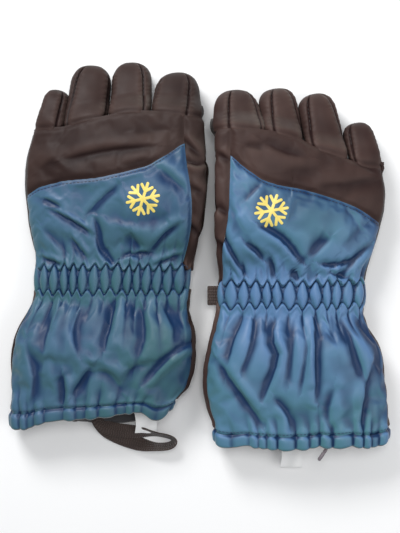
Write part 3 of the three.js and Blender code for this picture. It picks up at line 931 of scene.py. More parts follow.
class Finish:
    """A material under construction, with its Principled shader."""

    def __init__(self, name):
        self.material = bpy.data.materials.new(name)
        self.material.use_nodes = True
        self.tree = self.material.node_tree
        self.tree.nodes.clear()
        output = self.tree.nodes.new("ShaderNodeOutputMaterial")
        self.shader = self.tree.nodes.new("ShaderNodeBsdfPrincipled")
        self.tree.links.new(self.shader.outputs[0], output.inputs["Surface"])

    def node(self, kind, settings=None, **sockets):
        """A node of one kind: its settings first, then values or links (spaces as underscores)."""
        node = self.tree.nodes.new(kind)
        for key, value in (settings or {}).items():
            setattr(node, key, value)
        for key, value in sockets.items():
            self.feed(node.inputs[key.replace("_", " ")], value)
        return node

    def feed(self, socket, value):
        if isinstance(value, Val):
            value = value.socket
        if isinstance(value, bpy.types.NodeSocket):
            self.tree.links.new(value, socket)
        else:
            socket.default_value = value

    def val(self, socket):
        return Val(self.tree, socket)

    def place(self, scale=(1, 1, 1), turn=(0, 0, 0)):
        """Object coordinates, scaled and turned."""
        where = self.node("ShaderNodeTexCoord").outputs["Object"]
        mapping = self.node("ShaderNodeMapping", Vector=where)
        mapping.inputs["Scale"].default_value = scale
        mapping.inputs["Rotation"].default_value = turn
        return mapping.outputs[0]

    def noise(self, scale, detail=2.0, roughness=0.5, stretch=(1, 1, 1), turn=(0, 0, 0)):
        node = self.node("ShaderNodeTexNoise", Vector=self.place(stretch, turn))
        node.inputs["Scale"].default_value = scale
        node.inputs["Detail"].default_value = detail
        node.inputs["Roughness"].default_value = roughness
        return self.val(node.outputs["Fac"])

    def attribute(self, name):
        return self.val(self.node("ShaderNodeAttribute", {"attribute_name": name}).outputs["Fac"])

    def mix(self, factor, a, b, blend="MIX"):
        node = self.tree.nodes.new("ShaderNodeMix")
        node.data_type = "RGBA"
        node.blend_type = blend
        self.feed(node.inputs[0], factor)
        for socket, value in ((node.inputs[6], a), (node.inputs[7], b)):
            plain = isinstance(value, (tuple, list)) and len(value) == 3
            self.feed(socket, (*value, 1.0) if plain else value)
        return node.outputs[2]

    def weave(self, pitch):
        """Height of a plain weave of a given pitch, on object coordinates."""
        where = self.node("ShaderNodeSeparateXYZ", Vector=self.place((2 * math.pi / pitch,) * 3))
        x, y, z = (self.val(where.outputs[k]) for k in range(3))
        return (x.sine() * y.sine()).absolute() * 0.5 + z.sine() * 0.1

    def bump(self, height, strength, distance):
        node = self.node("ShaderNodeBump", Height=height)
        node.inputs["Strength"].default_value = strength
        node.inputs["Distance"].default_value = distance
        self.feed(self.shader.inputs["Normal"], node.outputs[0])

    def set(self, **values):
        for key, value in values.items():
            self.feed(self.shader.inputs[key.replace("_", " ")], value)
        return self.material


MATERIALS = {}


def finish(kind):
    """One of the finishes, made the first time it is asked for."""
    if kind not in MATERIALS:
        MATERIALS[kind] = FINISHES[kind]()
    return MATERIALS[kind]


def satin_nylon(name, teal_share, lift):
    """Two-tone satin nylon with painted shade and painted highlight: navy painted into the folds, a lighter
    and greener blue painted where it rises and where it faces one way, as painted sheen.
    """
    c = colours()
    f = Finish(name)
    relief = f.attribute("relief")
    lean = f.attribute("lean")
    patch = f.noise(16, 3, 0.55)
    streak = f.noise(60, 2, 0.5, stretch=(1, 0.35, 1))
    # ridge paints shade into the folds and highlight onto raised cloth and cloth facing one way, with random
    # patches and streaks of tone
    ridge = (relief * 0.7 + lean * 0.9 + 0.52 + (patch - 0.5) * 0.7 + (streak - 0.5) * 0.3).clipped()
    # green is random tone and each glove's teal share, plus painted sheen where the cloth faces one way
    green = ((f.noise(9, 2, 0.5, turn=(0, 0, 0.7)) - 0.5) * 2.4 + teal_share + lean * 0.8).clipped()
    lit = f.mix(green, tuple(v * lift for v in c.blue_lit_ridge), tuple(v * lift for v in c.teal))
    base = f.mix(ridge, tuple(c.blue_shaded_fold), lit)
    f.bump(f.weave(0.5 * MM) * 0.6 + f.noise(900, 2) * 0.4, 0.25, 0.06 * MM)
    rough = f.noise(140, 2) * 0.16 + 0.36
    return f.set(
        Base_Color=base, Roughness=rough, Sheen_Weight=0.04, Sheen_Roughness=0.4, Specular_IOR_Level=0.32
    )


def dark_nylon(name, lift):
    """Close-woven dark nylon: browner and darker in the folds as painted shade, greyer where it rises as
    painted highlight, and greyer-olive where it faces towards the fingertips as painted sheen.
    """
    c = colours()
    f = Finish(name)
    relief = f.attribute("relief")
    patch = f.noise(20, 3, 0.55)
    # ridge puts the dark colour into the folds as painted shade and the lit colour onto raised cloth as
    # painted highlight, with random patches of tone
    ridge = (relief * 0.4 + 0.36 + (patch - 0.5) * 1.1).clipped()
    # painted sheen: greyer-olive on cloth that faces towards the fingertips, such as the finger tips, with
    # random tone
    paler = (f.attribute("lean") * -0.75 + (f.noise(11, 2) - 0.5) * 0.9 - 0.1).clipped()
    lit = f.mix(paler, tuple(v * lift for v in c.dark_lit_ridge), tuple(v * lift for v in (0.09, 0.08, 0.068)))
    base = f.mix(ridge, tuple(v * lift for v in c.dark), lit)
    f.bump(f.weave(0.55 * MM) * 0.7 + f.noise(800, 2) * 0.3, 0.3, 0.07 * MM)
    rough = f.noise(120, 2) * 0.15 + 0.46
    return f.set(
        Base_Color=base, Roughness=rough, Sheen_Weight=0.02, Sheen_Roughness=0.45, Specular_IOR_Level=0.16
    )


def palm_grip():
    """Grained black grip cloth."""
    f = Finish("palm_grip")
    cells = f.node("ShaderNodeTexVoronoi", {"feature": "DISTANCE_TO_EDGE"}, Vector=f.place())
    cells.inputs["Scale"].default_value = 900
    grain = f.val(cells.outputs["Distance"])
    f.bump(grain * 1.5 + f.noise(260, 3) * 0.5, 0.5, 0.15 * MM)
    base = f.mix(f.noise(30, 3), (0.014, 0.012, 0.012), (0.036, 0.031, 0.03))
    return f.set(Base_Color=base, Roughness=f.noise(200, 2) * 0.2 + 0.45)


def fleece():
    f = Finish("fleece")
    curl = f.noise(700, 5, 0.7)
    f.bump(curl + f.noise(180, 3), 0.9, 0.5 * MM)
    base = f.mix(curl, (0.008, 0.008, 0.01), (0.04, 0.04, 0.046))
    return f.set(Base_Color=base, Roughness=0.95, Sheen_Weight=0.5, Sheen_Roughness=0.6)


def wadding():
    f = Finish("wadding")
    curl = f.noise(300, 6, 0.75)
    f.bump(curl, 1.0, 0.8 * MM)
    return f.set(Base_Color=f.mix(curl, (0.55, 0.54, 0.5), (0.85, 0.84, 0.8)), Roughness=0.97)


def ribbed_elastic():
    f = Finish("ribbed_elastic")
    where = f.node("ShaderNodeSeparateXYZ", Vector=f.place((0, 2 * math.pi / (1.2 * MM), 0)))
    rib = f.val(where.outputs[1]).sine()
    f.bump(rib, 0.6, 0.2 * MM)
    return f.set(Base_Color=f.mix(rib * 0.5 + 0.5, (0.008, 0.008, 0.009), (0.03, 0.03, 0.032)), Roughness=0.8)


def webbing():
    """Flat woven strap: bars across it, on its own coordinates."""
    c = colours()
    f = Finish("webbing")
    uv = f.node("ShaderNodeUVMap", {"uv_map": "Strap"}).outputs[0]
    split = f.node("ShaderNodeSeparateXYZ", Vector=uv)
    along, across = f.val(split.outputs[0]), f.val(split.outputs[1])
    bars = (along * (2 * math.pi / (1.9 * MM)) + (across * (math.pi / (2.2 * MM))).sine() * 1.2).sine()
    ribs = (across * (2 * math.pi / (2.3 * MM))).sine()
    f.bump(bars * 0.7 + ribs * 0.5, 0.8, 0.35 * MM)
    paler = (bars * 0.3 + 0.4 + (f.noise(120, 3) - 0.5) * 0.6).clipped()
    base = f.mix(paler, tuple(c.webbing), tuple(min(1, 2.6 * v) for v in c.webbing))
    return f.set(Base_Color=base, Roughness=0.62, Sheen_Weight=0.3)


def label_ribbon():
    f = Finish("label_ribbon")
    weave = f.weave(0.35 * MM)
    f.bump(weave, 0.3, 0.05 * MM)
    base = f.mix(f.noise(90, 3), (0.78, 0.79, 0.8), (0.93, 0.93, 0.92))
    return f.set(Base_Color=base, Roughness=0.75, Sheen_Weight=0.2)


def badge_print():
    c = colours()
    f = Finish("badge_print")
    f.bump(f.noise(500, 3), 0.15, 0.05 * MM)
    base = f.mix(f.noise(70, 2), tuple(0.92 * v for v in c.badge), tuple(c.badge))
    return f.set(Base_Color=base, Roughness=0.42)


def pull_plastic():
    f = Finish("pull_plastic")
    f.bump(f.noise(400, 3), 0.15, 0.05 * MM)
    return f.set(Base_Color=f.mix(f.noise(80, 2), (0.12, 0.1, 0.115), (0.2, 0.17, 0.19)), Roughness=0.4)


def thread(name, colour):
    f = Finish(name)
    f.bump(f.noise(2500, 2), 0.4, 0.05 * MM)
    return f.set(Base_Color=f.mix(f.noise(300, 2), tuple(0.75 * v for v in colour), colour), Roughness=0.55)


def floor_paint():
    f = Finish("floor_paint")
    f.bump(f.noise(60, 3), 0.02, 0.2 * MM)
    return f.set(Base_Color=f.mix(f.noise(3, 2), (0.86, 0.865, 0.87), (0.9, 0.9, 0.9)), Roughness=0.8)


FINISHES = {
    # The same nylons on both gloves: lift paints the right glove's copies brighter than the left's, a lit and
    # a shaded copy of one cloth as painted light
    "blue_left": lambda: satin_nylon("satin_nylon_left", 0.5, 1.0),
    "blue_right": lambda: satin_nylon("satin_nylon_right", 0.0, 1.5),
    "dark_left": lambda: dark_nylon("dark_nylon_left", 0.85),
    "dark_right": lambda: dark_nylon("dark_nylon_right", 1.2),
    "grip": palm_grip,
    "fleece": fleece,
    "wadding": wadding,
    "elastic": ribbed_elastic,
    "webbing": webbing,
    "label": label_ribbon,
    "badge": badge_print,
    "pull": pull_plastic,
    "blue_thread": lambda: thread("blue_thread", (0.02, 0.06, 0.13)),
    "dark_thread": lambda: thread("dark_thread", (0.02, 0.015, 0.015)),
    "floor": floor_paint,
}


def blue(name):
    return finish(f"blue_{name}")


def dark(name):
    return finish(f"dark_{name}")


# ---------------------------------------------------------------- hand panels


def knuckle_y(name, x):
    """Where the fingers' roots lie, as y against x: the front edge of the knuckle panel and the gusset."""
    return HandForm.smooth_line(CLOTH[name]["knuckle_line_mm"], x)


def colour_y(name, x):
    return HandForm.smooth_line(CLOTH[name]["colour_seam_mm"], x)


DIGITS = {}


def digit(name, which):
    """The form of one digit."""
    key = (name, which)
    if key not in DIGITS:
        if which == "thumb":
            DIGITS[key] = DigitForm(name, which, [f"{name}_thumb_shell"], f"{name}_thumb_open")
        else:
            nodes = [f"{name}_{which}_back", f"{name}_{which}_palm"]
            DIGITS[key] = DigitForm(name, which, nodes, f"{name}_{which}_flex")
    return DIGITS[key]


def along_line(hand, columns, line, guess, by_gusset=False):
    """y where a line across the form, given as y against x, meets each column."""
    y = np.full(columns.shape, guess)
    for _ in range(5):
        y = line(hand.points(narrowed(hand, columns, y) if by_gusset else columns, y)[:, 0])
    return y


def seat(points, rise, side, closed=False):
    """Points moved out along their normals by rise, never under the surface the gloves lie on."""
    moved = points + grid_normals(points, side, closed) * rise[..., None]
    moved[..., 2] = np.maximum(moved[..., 2], np.minimum(points[..., 2], 0.3 * MM))
    return moved


def no_deeper(points, base, side, limit=PRESSED_MOST):
    """Points pressed further than limit into the form, brought back out, with none under the floor."""
    normals = grid_normals(base, side)
    depth = -np.einsum("ijk,ijk->ij", points - base, normals)
    points = points + normals * np.maximum(depth - limit, 0)[..., None]
    points[..., 2] = np.maximum(points[..., 2], np.minimum(base[..., 2], 0.3 * MM))
    return points


def build_panel(
    name, piece, columns, start, stop, creases, material, edges, spare, by_gusset=True
):
    """One panel of a hand, from start to stop along it, with spare length to buckle in."""
    s = settings()
    hand = form(name)
    points, degrees, y = panel_points(hand, columns, start, stop, s.grain, by_gusset=by_gusset)
    x = points[..., 0]
    rise = drape(x, y, CLOTH[name]["seed"]) + creased(x, y, creases) + gathers(name, degrees, y)
    relief = relief_of(rise)
    rise = rise - edge_dip(points, **edges)
    base = points
    points = hang(seat(base, rise, hand.side), spare, 2.4 * MM)
    points = no_deeper(points, base, hand.side)
    wall = wall_object(f"{name}_{piece}_cloth", points, s.shell, relief=relief)
    return finish_piece(wall, material, [f"{name}_{piece}"], f"{name}_hand")


class GLOVES_OT_hand(bpy.types.Operator):
    """Sew the knuckle panel, the back panel, the palm panel and the side gusset of both hands"""

    bl_idname = "gloves.hand"
    bl_label = "Hand Panels"

    def execute(self, context):
        grain = settings().grain
        all_edges = {"left": True, "right": True, "start": True, "stop": True}
        open_rear = {**all_edges, "start": False}
        for name in SIDES:
            hand = form(name)
            cloth = CLOTH[name]
            middle = rows_of(name)[UPPER] + 45 * MM
            front_guess = middle + 50 * MM
            back = hand.columns(SEAM["gusset"], SEAM["little"], grain, middle)
            palm = hand.columns(SEAM["little"], SEAM["palm"], 1.3 * grain, middle)
            gusset = hand.columns(SEAM["palm"] - 360, SEAM["gusset"], grain, middle)
            seam = along_line(hand, back, lambda x: colour_y(name, x), middle, by_gusset=True)
            front = along_line(hand, back, lambda x: knuckle_y(name, x), front_guess, by_gusset=True)
            build_panel(
                name, "knuckle_panel", back, seam - 0.2 * MM, front + 1.5 * MM, cloth["knuckle"],
                dark(name), all_edges, 0.012,
            )
            rear_angles = narrowed(hand, back, np.full(back.shape, rows_of(name)[UPPER]))
            build_panel(
                name, "back_panel", back, row_line(name, rear_angles, UPPER), seam, cloth["back"],
                blue(name), open_rear, 0.03,
            )
            palm_front = along_line(hand, palm, lambda x: knuckle_y(name, x), front_guess)
            palm_front = palm_front - 10 * MM * smoothstep((palm - 190) / 20)
            build_panel(
                name, "palm_panel", palm, row_line(name, palm, UPPER), palm_front, [],
                finish("grip"), open_rear, 0.01, by_gusset=False,
            )
            rear_angles = narrowed(hand, gusset, np.full(gusset.shape, rows_of(name)[UPPER]))
            gusset_front = along_line(hand, gusset, lambda x: knuckle_y(name, x), front_guess, by_gusset=True)
            gusset_front = gusset_front - 10 * MM * (1 - smoothstep((gusset + 45) / 20))
            gusset_rear = row_line(name, rear_angles, UPPER)
            build_panel(
                name, "side_gusset", gusset, gusset_rear, gusset_front, cloth["gusset"],
                dark(name), open_rear, 0.02,
            )
        return {"FINISHED"}


class GLOVES_OT_wrist(bpy.types.Operator):
    """Gather the shirred sleeve of both wrists"""

    bl_idname = "gloves.wrist"
    bl_label = "Shirred Wrists"

    def execute(self, context):
        s = settings()
        tuck = 1.3 * MM  # the sleeve's edges go this far under the panels at both rows
        for name in SIDES:
            hand = form(name)
            columns = hand.columns(0, 360, 0.75 * s.grain, sum(rows_of(name)) / 2)[:-1]
            upper, lower = row_line(name, columns, UPPER), row_line(name, columns, LOWER)
            points, degrees, y = panel_points(hand, columns, lower - tuck, upper + tuck, 0.75 * s.grain)
            rise = gathers(name, degrees, np.clip(y, lower, upper))
            rise = rise + drape(points[..., 0], y, CLOTH[name]["seed"], 0.3 * MM)
            relief = relief_of(rise)
            outside = np.maximum(y - upper, lower - y)
            rise = rise - 1.1 * MM * smoothstep((outside + 0.2 * MM) / tuck)
            points = seat(points, rise, hand.side, closed=True)
            wall = wall_object(f"{name}_wrist_sleeve_cloth", points, s.shell, closed=True, relief=relief)
            finish_piece(wall, blue(name), [f"{name}_wrist_sleeve"], None)
            bend_at_wrist(wall, name)
        return {"FINISHED"}


def bend_at_wrist(piece, name):
    """The piece's placement baked into its mesh."""
    upper, lower = rows_of(name)
    x = form(name).section(upper)[0]
    height = form(name).section(upper)[2]
    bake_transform(piece)


class GLOVES_OT_cuffs(bpy.types.Operator):
    """Sew the backs and the palm sides of both cuffs, and their gathered hems"""

    bl_idname = "gloves.cuffs"
    bl_label = "Cuffs and Hems"

    def execute(self, context):
        s = settings()
        for name in SIDES:
            hand = form(name)
            cloth = CLOTH[name]
            hem_low, hem_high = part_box(f"{name}_hem_band")
            bottom = hem_high.y
            middle = (rows_of(name)[LOWER] + bottom) / 2
            edges = {"left": True, "right": True, "start": False, "stop": False}
            back = hand.columns(SEAM["cuff"], SEAM["little"], s.grain, middle)
            palm = hand.columns(SEAM["little"], SEAM["cuff"] + 360, 1.3 * s.grain, middle)
            self.cuff_panel(name, "cuff_back", hand, back, bottom, cloth["cuff"], blue(name), edges)
            self.cuff_panel(name, "cuff_palm", hand, palm, bottom, [], dark(name), edges)
            self.hem(name, hand, hem_low.y, bottom)
        return {"FINISHED"}

    def hem_gathers(self, name, degrees, y, bottom):
        """Short pleats that the hem's cord draws in."""
        cloth = CLOTH[name]
        hand = form(name)
        rng = np.random.default_rng(cloth["seed"] + 5)
        count = 30
        turn = hand.arc(degrees, bottom) / hand.arc(360.0, bottom)
        phase = turn * count + 0.3 * np.sin(2 * math.pi * 7 * turn) + 0.2 * np.sin(2 * math.pi * 4 * turn + 2)
        pleat = np.floor(phase).astype(int) % count
        within = phase - np.floor(phase)
        ridge = np.sin(math.pi * within) ** 0.8
        full = rng.uniform(0.3, 1.2, count)[pleat] ** 1.5
        reach = rng.uniform(5, 15, count)[pleat] * MM
        above = np.clip(y - bottom, 0, None)
        return 2.6 * MM * full * ridge * np.exp(-((above / reach) ** 1.5))

    def cuff_panel(self, name, piece, hand, columns, bottom, creases, material, edges):
        s = settings()
        top = row_line(name, columns, LOWER)
        points, degrees, y = panel_points(hand, columns, bottom, top, s.grain)
        x = points[..., 0]
        rise = drape(x, y, CLOTH[name]["seed"] + 3, 0.9 * MM) + creased(x, y, creases)
        rise = rise + gathers(name, degrees, y) + self.hem_gathers(name, degrees, y, bottom)
        rise = rise - 1.6 * MM * bump(y - bottom, 1.8 * MM)
        relief = relief_of(rise)
        rise = rise - edge_dip(points, **edges)
        base = points
        points = hang(seat(base, rise, hand.side), 0.03, 3 * MM)
        points = no_deeper(points, base, hand.side, 4 * MM)
        wall = wall_object(f"{name}_{piece}_cloth", points, s.shell, relief=relief)
        return finish_piece(wall, material, [f"{name}_{piece}"], f"{name}_cuff")

    def hem(self, name, hand, low, high):
        """The folded hem: out, down round its edge, and back up inside."""
        s = settings()
        columns = hand.columns(0, 360, s.grain, high)[:-1]
        count = 30
        t = np.linspace(1, 0, count)[:, None]
        fold = 1.9 * MM  # half the thickness of the folded hem
        outside = 0.62  # share of the rows that lie outside
        straight = (high - low) - fold
        turn = np.clip((t - outside) / (1 - outside), 0, 1) * math.pi
        y = np.where(t < outside, high - straight * t / outside, low + fold - fold * np.sin(turn))
        depth = np.where(t < outside, 0.0, fold * (1 - np.cos(turn)))
        degrees, y, depth = np.broadcast_arrays(columns[None, :], y, depth)
        points = hand.points(degrees, y, depth)
        puckers = self.hem_gathers(name, degrees, np.minimum(y + 2 * MM, high), high)
        crown = 0.4 * MM * np.sin(math.pi * np.clip(t / outside, 0, 1))
        rise = puckers * np.clip(1 - depth / fold, -0.4, 1) + crown
        rise = rise - 1.4 * MM * bump(y - high, 1.5 * MM) * (depth < 1e-6)
        relief = relief_of(rise)
        points = seat(points, rise, hand.side, closed=True)
        wall = wall_object(f"{name}_hem_band_cloth", points, 0.8 * MM, closed=True, relief=relief)
        wall.data.materials.append(blue(name))
        wall.data.materials.append(finish("fleece"))
        inside = int(count * (1 - outside)) - 2
        for face in wall.data.polygons:
            row = min(face.vertices) % (count * len(columns)) // len(columns)
            face.material_index = 1 if row < inside else 0
        finish_piece(wall, blue(name), [f"{name}_hem_band"], f"{name}_cuff")


# ---------------------------------------------------------------- digits


# The seams along each finger's back: how far across it they lie, at its root and at its tip, from -1 to 1.
FINGER_SEAMS = {
    "left": {
        "little": ((0.52, 0.5), (-0.97, -0.95)),
        "ring": ((-0.87, -0.6), (0.93, 0.95)),
        "middle": ((-0.95, -0.93), (0.72, 0.56)),
        "index": ((-0.95, -0.9), (0.42, 0.63)),
    },
    "right": {
        "index": ((-0.4, -0.26), (0.85, 0.9)),
        "middle": ((-0.52, -0.28), (0.95, 0.76)),
        "ring": ((-0.72, -0.4), (0.95, 0.76)),
        "little": ((-0.8, -0.6), (0.97, 0.95)),
    },
}


class GLOVES_OT_fingers(bpy.types.Operator):
    """Pad the backs and palms of all eight fingers, with their side seams"""

    bl_idname = "gloves.fingers"
    bl_label = "Fingers"

    def execute(self, context):
        for name in SIDES:
            for which in FINGERS:
                self.half(name, which, "back", 0, 180, -6 * MM)
                self.half(name, which, "palm", 180, 360, -13 * MM)
        return {"FINISHED"}

    def rear_edge(self, name, shape, degrees):
        """How far along the finger each column starts, to lie just under the knuckle panel's edge."""
        across = shape.side * shape.root_half[0] * rounded(np.cos(np.radians(degrees)), DIGIT_ROUNDNESS)
        x = shape.root[0] + shape.sideways[0] * across
        y = shape.root[1] + shape.sideways[1] * across
        return np.clip((knuckle_y(name, x) - 5 * MM - y) / shape.along[1], -20 * MM, 1 * MM)

    def half(self, name, which, piece, first, last, start):
        s = settings()
        shape = digit(name, which)
        hand = form(name)
        count = int(math.pi * shape.root_half[0] / (0.72 * s.grain))
        degrees = np.linspace(first, last, count)[None, :]
        reach = shape.reach(int((shape.length - start) / (0.5 * s.grain)), start)[:, None]
        degrees, reach = np.broadcast_arrays(degrees, reach)
        if piece == "back":
            edge = self.rear_edge(name, shape, degrees)
            reach = reach + (edge - start) * (1 - smoothstep((reach - start) / (26 * MM)))
            past = reach - edge
            wider = 0.05 * (1 - smoothstep(reach / (18 * MM)))
            tucked = 0.16 * (1 - smoothstep((past + 1 * MM) / (8 * MM)))
            swell = 1.035 + wider - tucked
        else:
            past = reach + 6 * MM
            swell = 1.02 - 0.2 * (1 - smoothstep((reach + 9 * MM) / (12 * MM)))
        points = shape.points(degrees, reach, swell=swell)
        points = self.rooted(hand, shape, points, degrees, reach, past, piece)
        seed = CLOTH[name]["seed"] + 7 * FINGERS.index(which)
        x, y = points[..., 0], points[..., 1]
        rise = drape(x, y, seed, 0.6 * MM)
        tip = smoothstep((shape.length - reach) / (5 * MM))
        if piece == "back":
            rise = rise + self.seams(name, which, shape, degrees, reach, tip, x, y, seed)
            rise = rise - 2.6 * MM * (1 - smoothstep(past / (6 * MM)))
            rise = rise - 0.9 * MM * bump(past - 6.5 * MM, 2.2 * MM)
        relief = relief_of(rise)
        for edge in (first, last):
            off = np.radians(degrees - edge) * shape.root_half[0]
            rise = rise - 1.2 * MM * bump(off, 1.3 * MM) * tip
        normals = grid_normals(points, shape.side)
        normals[-1] = shape.along
        rise[-1] = 0
        points = points + normals * rise[..., None]
        points[..., 2] = np.maximum(points[..., 2], 0.3 * MM)
        wall = wall_object(f"{name}_{which}_{piece}_cloth", points, 2.0 * MM, pole=True, relief=relief)
        material = dark(name) if piece == "back" else finish("grip")
        finish_piece(wall, material, [f"{name}_{which}_{piece}"], None)
        bend_at_root(wall, name, which)

    def rooted(self, hand, shape, points, degrees, reach, past, piece):
        """The finger taken over from the hand's surface at its root, and its own shape further out."""
        own = smoothstep((past - 5 * MM) / (18 * MM))
        high, low = hand.heights(points[..., 0], points[..., 1])
        spine = shape.root[2] + (shape.tip[2] - shape.root[2]) * np.clip(reach / shape.length, -0.3, 1)
        target = high if piece == "back" else low
        lift = np.abs(np.sin(np.radians(degrees))) ** (0.45 if piece == "back" else 0.8)
        square = spine + (target - spine) * lift
        points[..., 2] = own * points[..., 2] + (1 - own) * square
        return points

    def seams(self, name, which, shape, degrees, reach, tip, x, y, seed):
        """Grooves of the side seams, with the cloth puffed and puckered beside them."""
        rise = np.zeros(degrees.shape)
        across = shape.side * rounded(np.cos(np.radians(degrees)), DIGIT_ROUNDNESS)
        half = shape.root_half[0]
        share = np.clip(reach / shape.length, 0, 1)
        pucker = np.sin(2 * math.pi * reach / (4.2 * MM) + 4 * value_noise(x, y, 8 * MM, seed + 9))
        for root_share, tip_share in FINGER_SEAMS[name][which]:
            place = root_share + (tip_share - root_share) * share
            off = (across - place) * half
            rise = rise - 1.7 * MM * bump(off, 0.8 * MM) * (0.3 + 0.7 * tip)
            for hand in (-1, 1):
                rise = rise + 0.4 * MM * bump(off - hand * 3.4 * MM, 2.4 * MM) * tip
            rise = rise + 0.13 * MM * pucker * bump(np.abs(off) - 2.4 * MM, 2.4 * MM) * tip
        return rise


def bend_at_root(piece, name, which):
    """The piece's placement baked into its mesh."""
    shape = digit(name, which)
    start = shape.root - shape.along * 5 * MM
    stop = shape.root + shape.along * 8 * MM
    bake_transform(piece)


class GLOVES_OT_thumbs(bpy.types.Operator):
    """Pad both thumbs, tucked under the palms"""

    bl_idname = "gloves.thumbs"
    bl_label = "Thumbs"

    def execute(self, context):
        s = settings()
        for name in SIDES:
            shape = digit(name, "thumb")
            count = int(2 * math.pi * shape.root_half[0] / s.grain)
            degrees = np.linspace(0, 360, count, endpoint=False)[None, :]
            start = -9 * MM
            reach = shape.reach(int((shape.length - start) / (0.7 * s.grain)), start)[:, None]
            degrees, reach = np.broadcast_arrays(degrees, reach)
            narrowing = 0.3 * (1 - smoothstep((reach - start) / (20 * MM)))
            points = shape.points(degrees, reach, swell=1 - narrowing)
            rise = drape(points[..., 0], points[..., 1], CLOTH[name]["seed"] + 40, 0.6 * MM)
            tip = smoothstep((shape.length - reach) / (6 * MM))
            for seam in (0, 180):
                off = (np.mod(degrees - seam + 180, 360) - 180) / 180 * math.pi * shape.root_half[0]
                rise = rise - 1.4 * MM * bump(off, 1.4 * MM) * tip
            relief = relief_of(rise)
            normals = grid_normals(points, shape.side, closed=True)
            normals[-1] = shape.along
            rise[-1] = 0
            points = points + normals * rise[..., None]
            points[..., 2] = np.maximum(points[..., 2], 0.2 * MM)
            wall = wall_object(f"{name}_thumb_cloth", points, 2 * MM, closed=True, pole=True, relief=relief)
            finish_piece(wall, dark(name), [f"{name}_thumb_shell"], f"{name}_thumb")
        return {"FINISHED"}


# ---------------------------------------------------------------- linings and hidden layers


class GLOVES_OT_linings(bpy.types.Operator):
    """Line the hands, cuffs and digits, and add the wadding, elastic and hem cords between the layers"""

    bl_idname = "gloves.linings"
    bl_label = "Linings and Wadding"

    def execute(self, context):
        for name in SIDES:
            hand = form(name)
            upper, lower = rows_of(name)
            front = min(digit(name, f).root[1] for f in FINGERS) - 9 * MM
            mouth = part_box(f"{name}_hem_band")[0].y + 2 * MM
            cuff_top = lower - 4 * MM
            body, cuff = f"{name}_hand", f"{name}_cuff"
            self.sleeve(hand, "hand_wadding", "wadding", upper + 6 * MM, front, 4.8 * MM, 1.3 * MM, body)
            self.sleeve(hand, "hand_lining", "fleece", cuff_top, front, 6.2 * MM, 0.9 * MM)
            self.sleeve(hand, "cuff_lining", "fleece", mouth, cuff_top, 5.6 * MM, 0.9 * MM, cuff)
            self.sleeve(hand, "wrist_elastic", "elastic", lower, upper, 3.2 * MM, 1 * MM)
            self.sleeve(hand, "hem_cord", "elastic", mouth + 2 * MM, mouth + 4 * MM, 1.9 * MM, 1.6 * MM, cuff)
            for which in (*FINGERS, "thumb"):
                self.digit_lining(name, which)
        return {"FINISHED"}

    def sleeve(self, hand, piece, kind, start, stop, depth, thickness, body=None):
        """A closed layer inside the form, of one kind of cloth; with no body it is attached to none."""
        name = hand.name
        columns = hand.columns(0, 360, 2.4 * MM, (start + stop) / 2)[:-1]
        points, _, y = panel_points(hand, columns, start, stop, 2.2 * MM, depth)
        rise = drape(points[..., 0], y, CLOTH[name]["seed"] + 21, 0.25 * MM)
        points = seat(points, rise, hand.side, closed=True)
        wall = wall_object(f"{name}_{piece}_layer", points, thickness, closed=True)
        finish_piece(wall, finish(kind), [f"{name}_{piece}"], body)
        if body is None:
            bend_at_wrist(wall, name)

    def digit_lining(self, name, which):
        shape = digit(name, which)
        degrees = np.linspace(0, 360, 40, endpoint=False)[None, :]
        reach = shape.reach(34, 0.0)[:, None]
        degrees, reach = np.broadcast_arrays(degrees, reach)
        points = shape.points(degrees, reach, depth=4.6 * MM)
        wall = wall_object(f"{name}_{which}_lining_layer", points, 0.8 * MM, closed=True, pole=True)
        finish_piece(wall, finish("fleece"), [f"{name}_{which}_lining"], shape.body)


# ---------------------------------------------------------------- trim


def strap_object(node, path, width_axis, width, thickness, body):
    """A flat woven strap along a path of points, its width along width_axis at each point."""
    name = f"{node}_strap"
    path = np.array(path, float)
    count = len(path)
    tangent = np.gradient(path, axis=0)
    tangent /= np.linalg.norm(tangent, axis=1, keepdims=True)
    across = np.broadcast_to(np.array(width_axis, float), path.shape).copy()
    across -= tangent * np.einsum("ij,ij->i", across, tangent)[:, None]
    across /= np.linalg.norm(across, axis=1, keepdims=True)
    up = np.cross(tangent, across)
    profile = 14
    angle = np.linspace(0, 2 * math.pi, 2 * profile, endpoint=False)
    px = width / 2 * rounded(np.cos(angle), 8)
    pz = thickness / 2 * rounded(np.sin(angle), 3)
    ring = path[:, None] + across[:, None] * px[None, :, None] + up[:, None] * pz[None, :, None]
    points = ring.reshape(-1, 3)
    sides = len(angle)
    faces = []
    for j in range(count - 1):
        for i in range(sides):
            k = (i + 1) % sides
            faces.append([j * sides + i, j * sides + k, (j + 1) * sides + k, (j + 1) * sides + i])
    faces.append(list(range(sides))[::-1])
    faces.append([(count - 1) * sides + i for i in range(sides)])
    if volume_of(points, faces) < 0:
        faces = [f[::-1] for f in faces]
    mesh = bpy.data.meshes.new(name)
    mesh.from_pydata(points, [], faces)
    run = np.concatenate([[0], np.cumsum(np.linalg.norm(np.diff(path, axis=0), axis=1))])
    uv = mesh.uv_layers.new(name="Strap")
    flat = np.stack([np.repeat(run, sides), np.tile(px + width, count)], -1)
    loops = np.zeros(len(mesh.loops), int)
    mesh.loops.foreach_get("vertex_index", loops)
    uv.data.foreach_set("uv", flat[loops].ravel())
    mesh.shade_smooth()
    mesh.set_sharp_from_angle(angle=math.radians(50))
    piece = placed(name, mesh)
    return finish_piece(piece, finish("webbing"), [node], body)


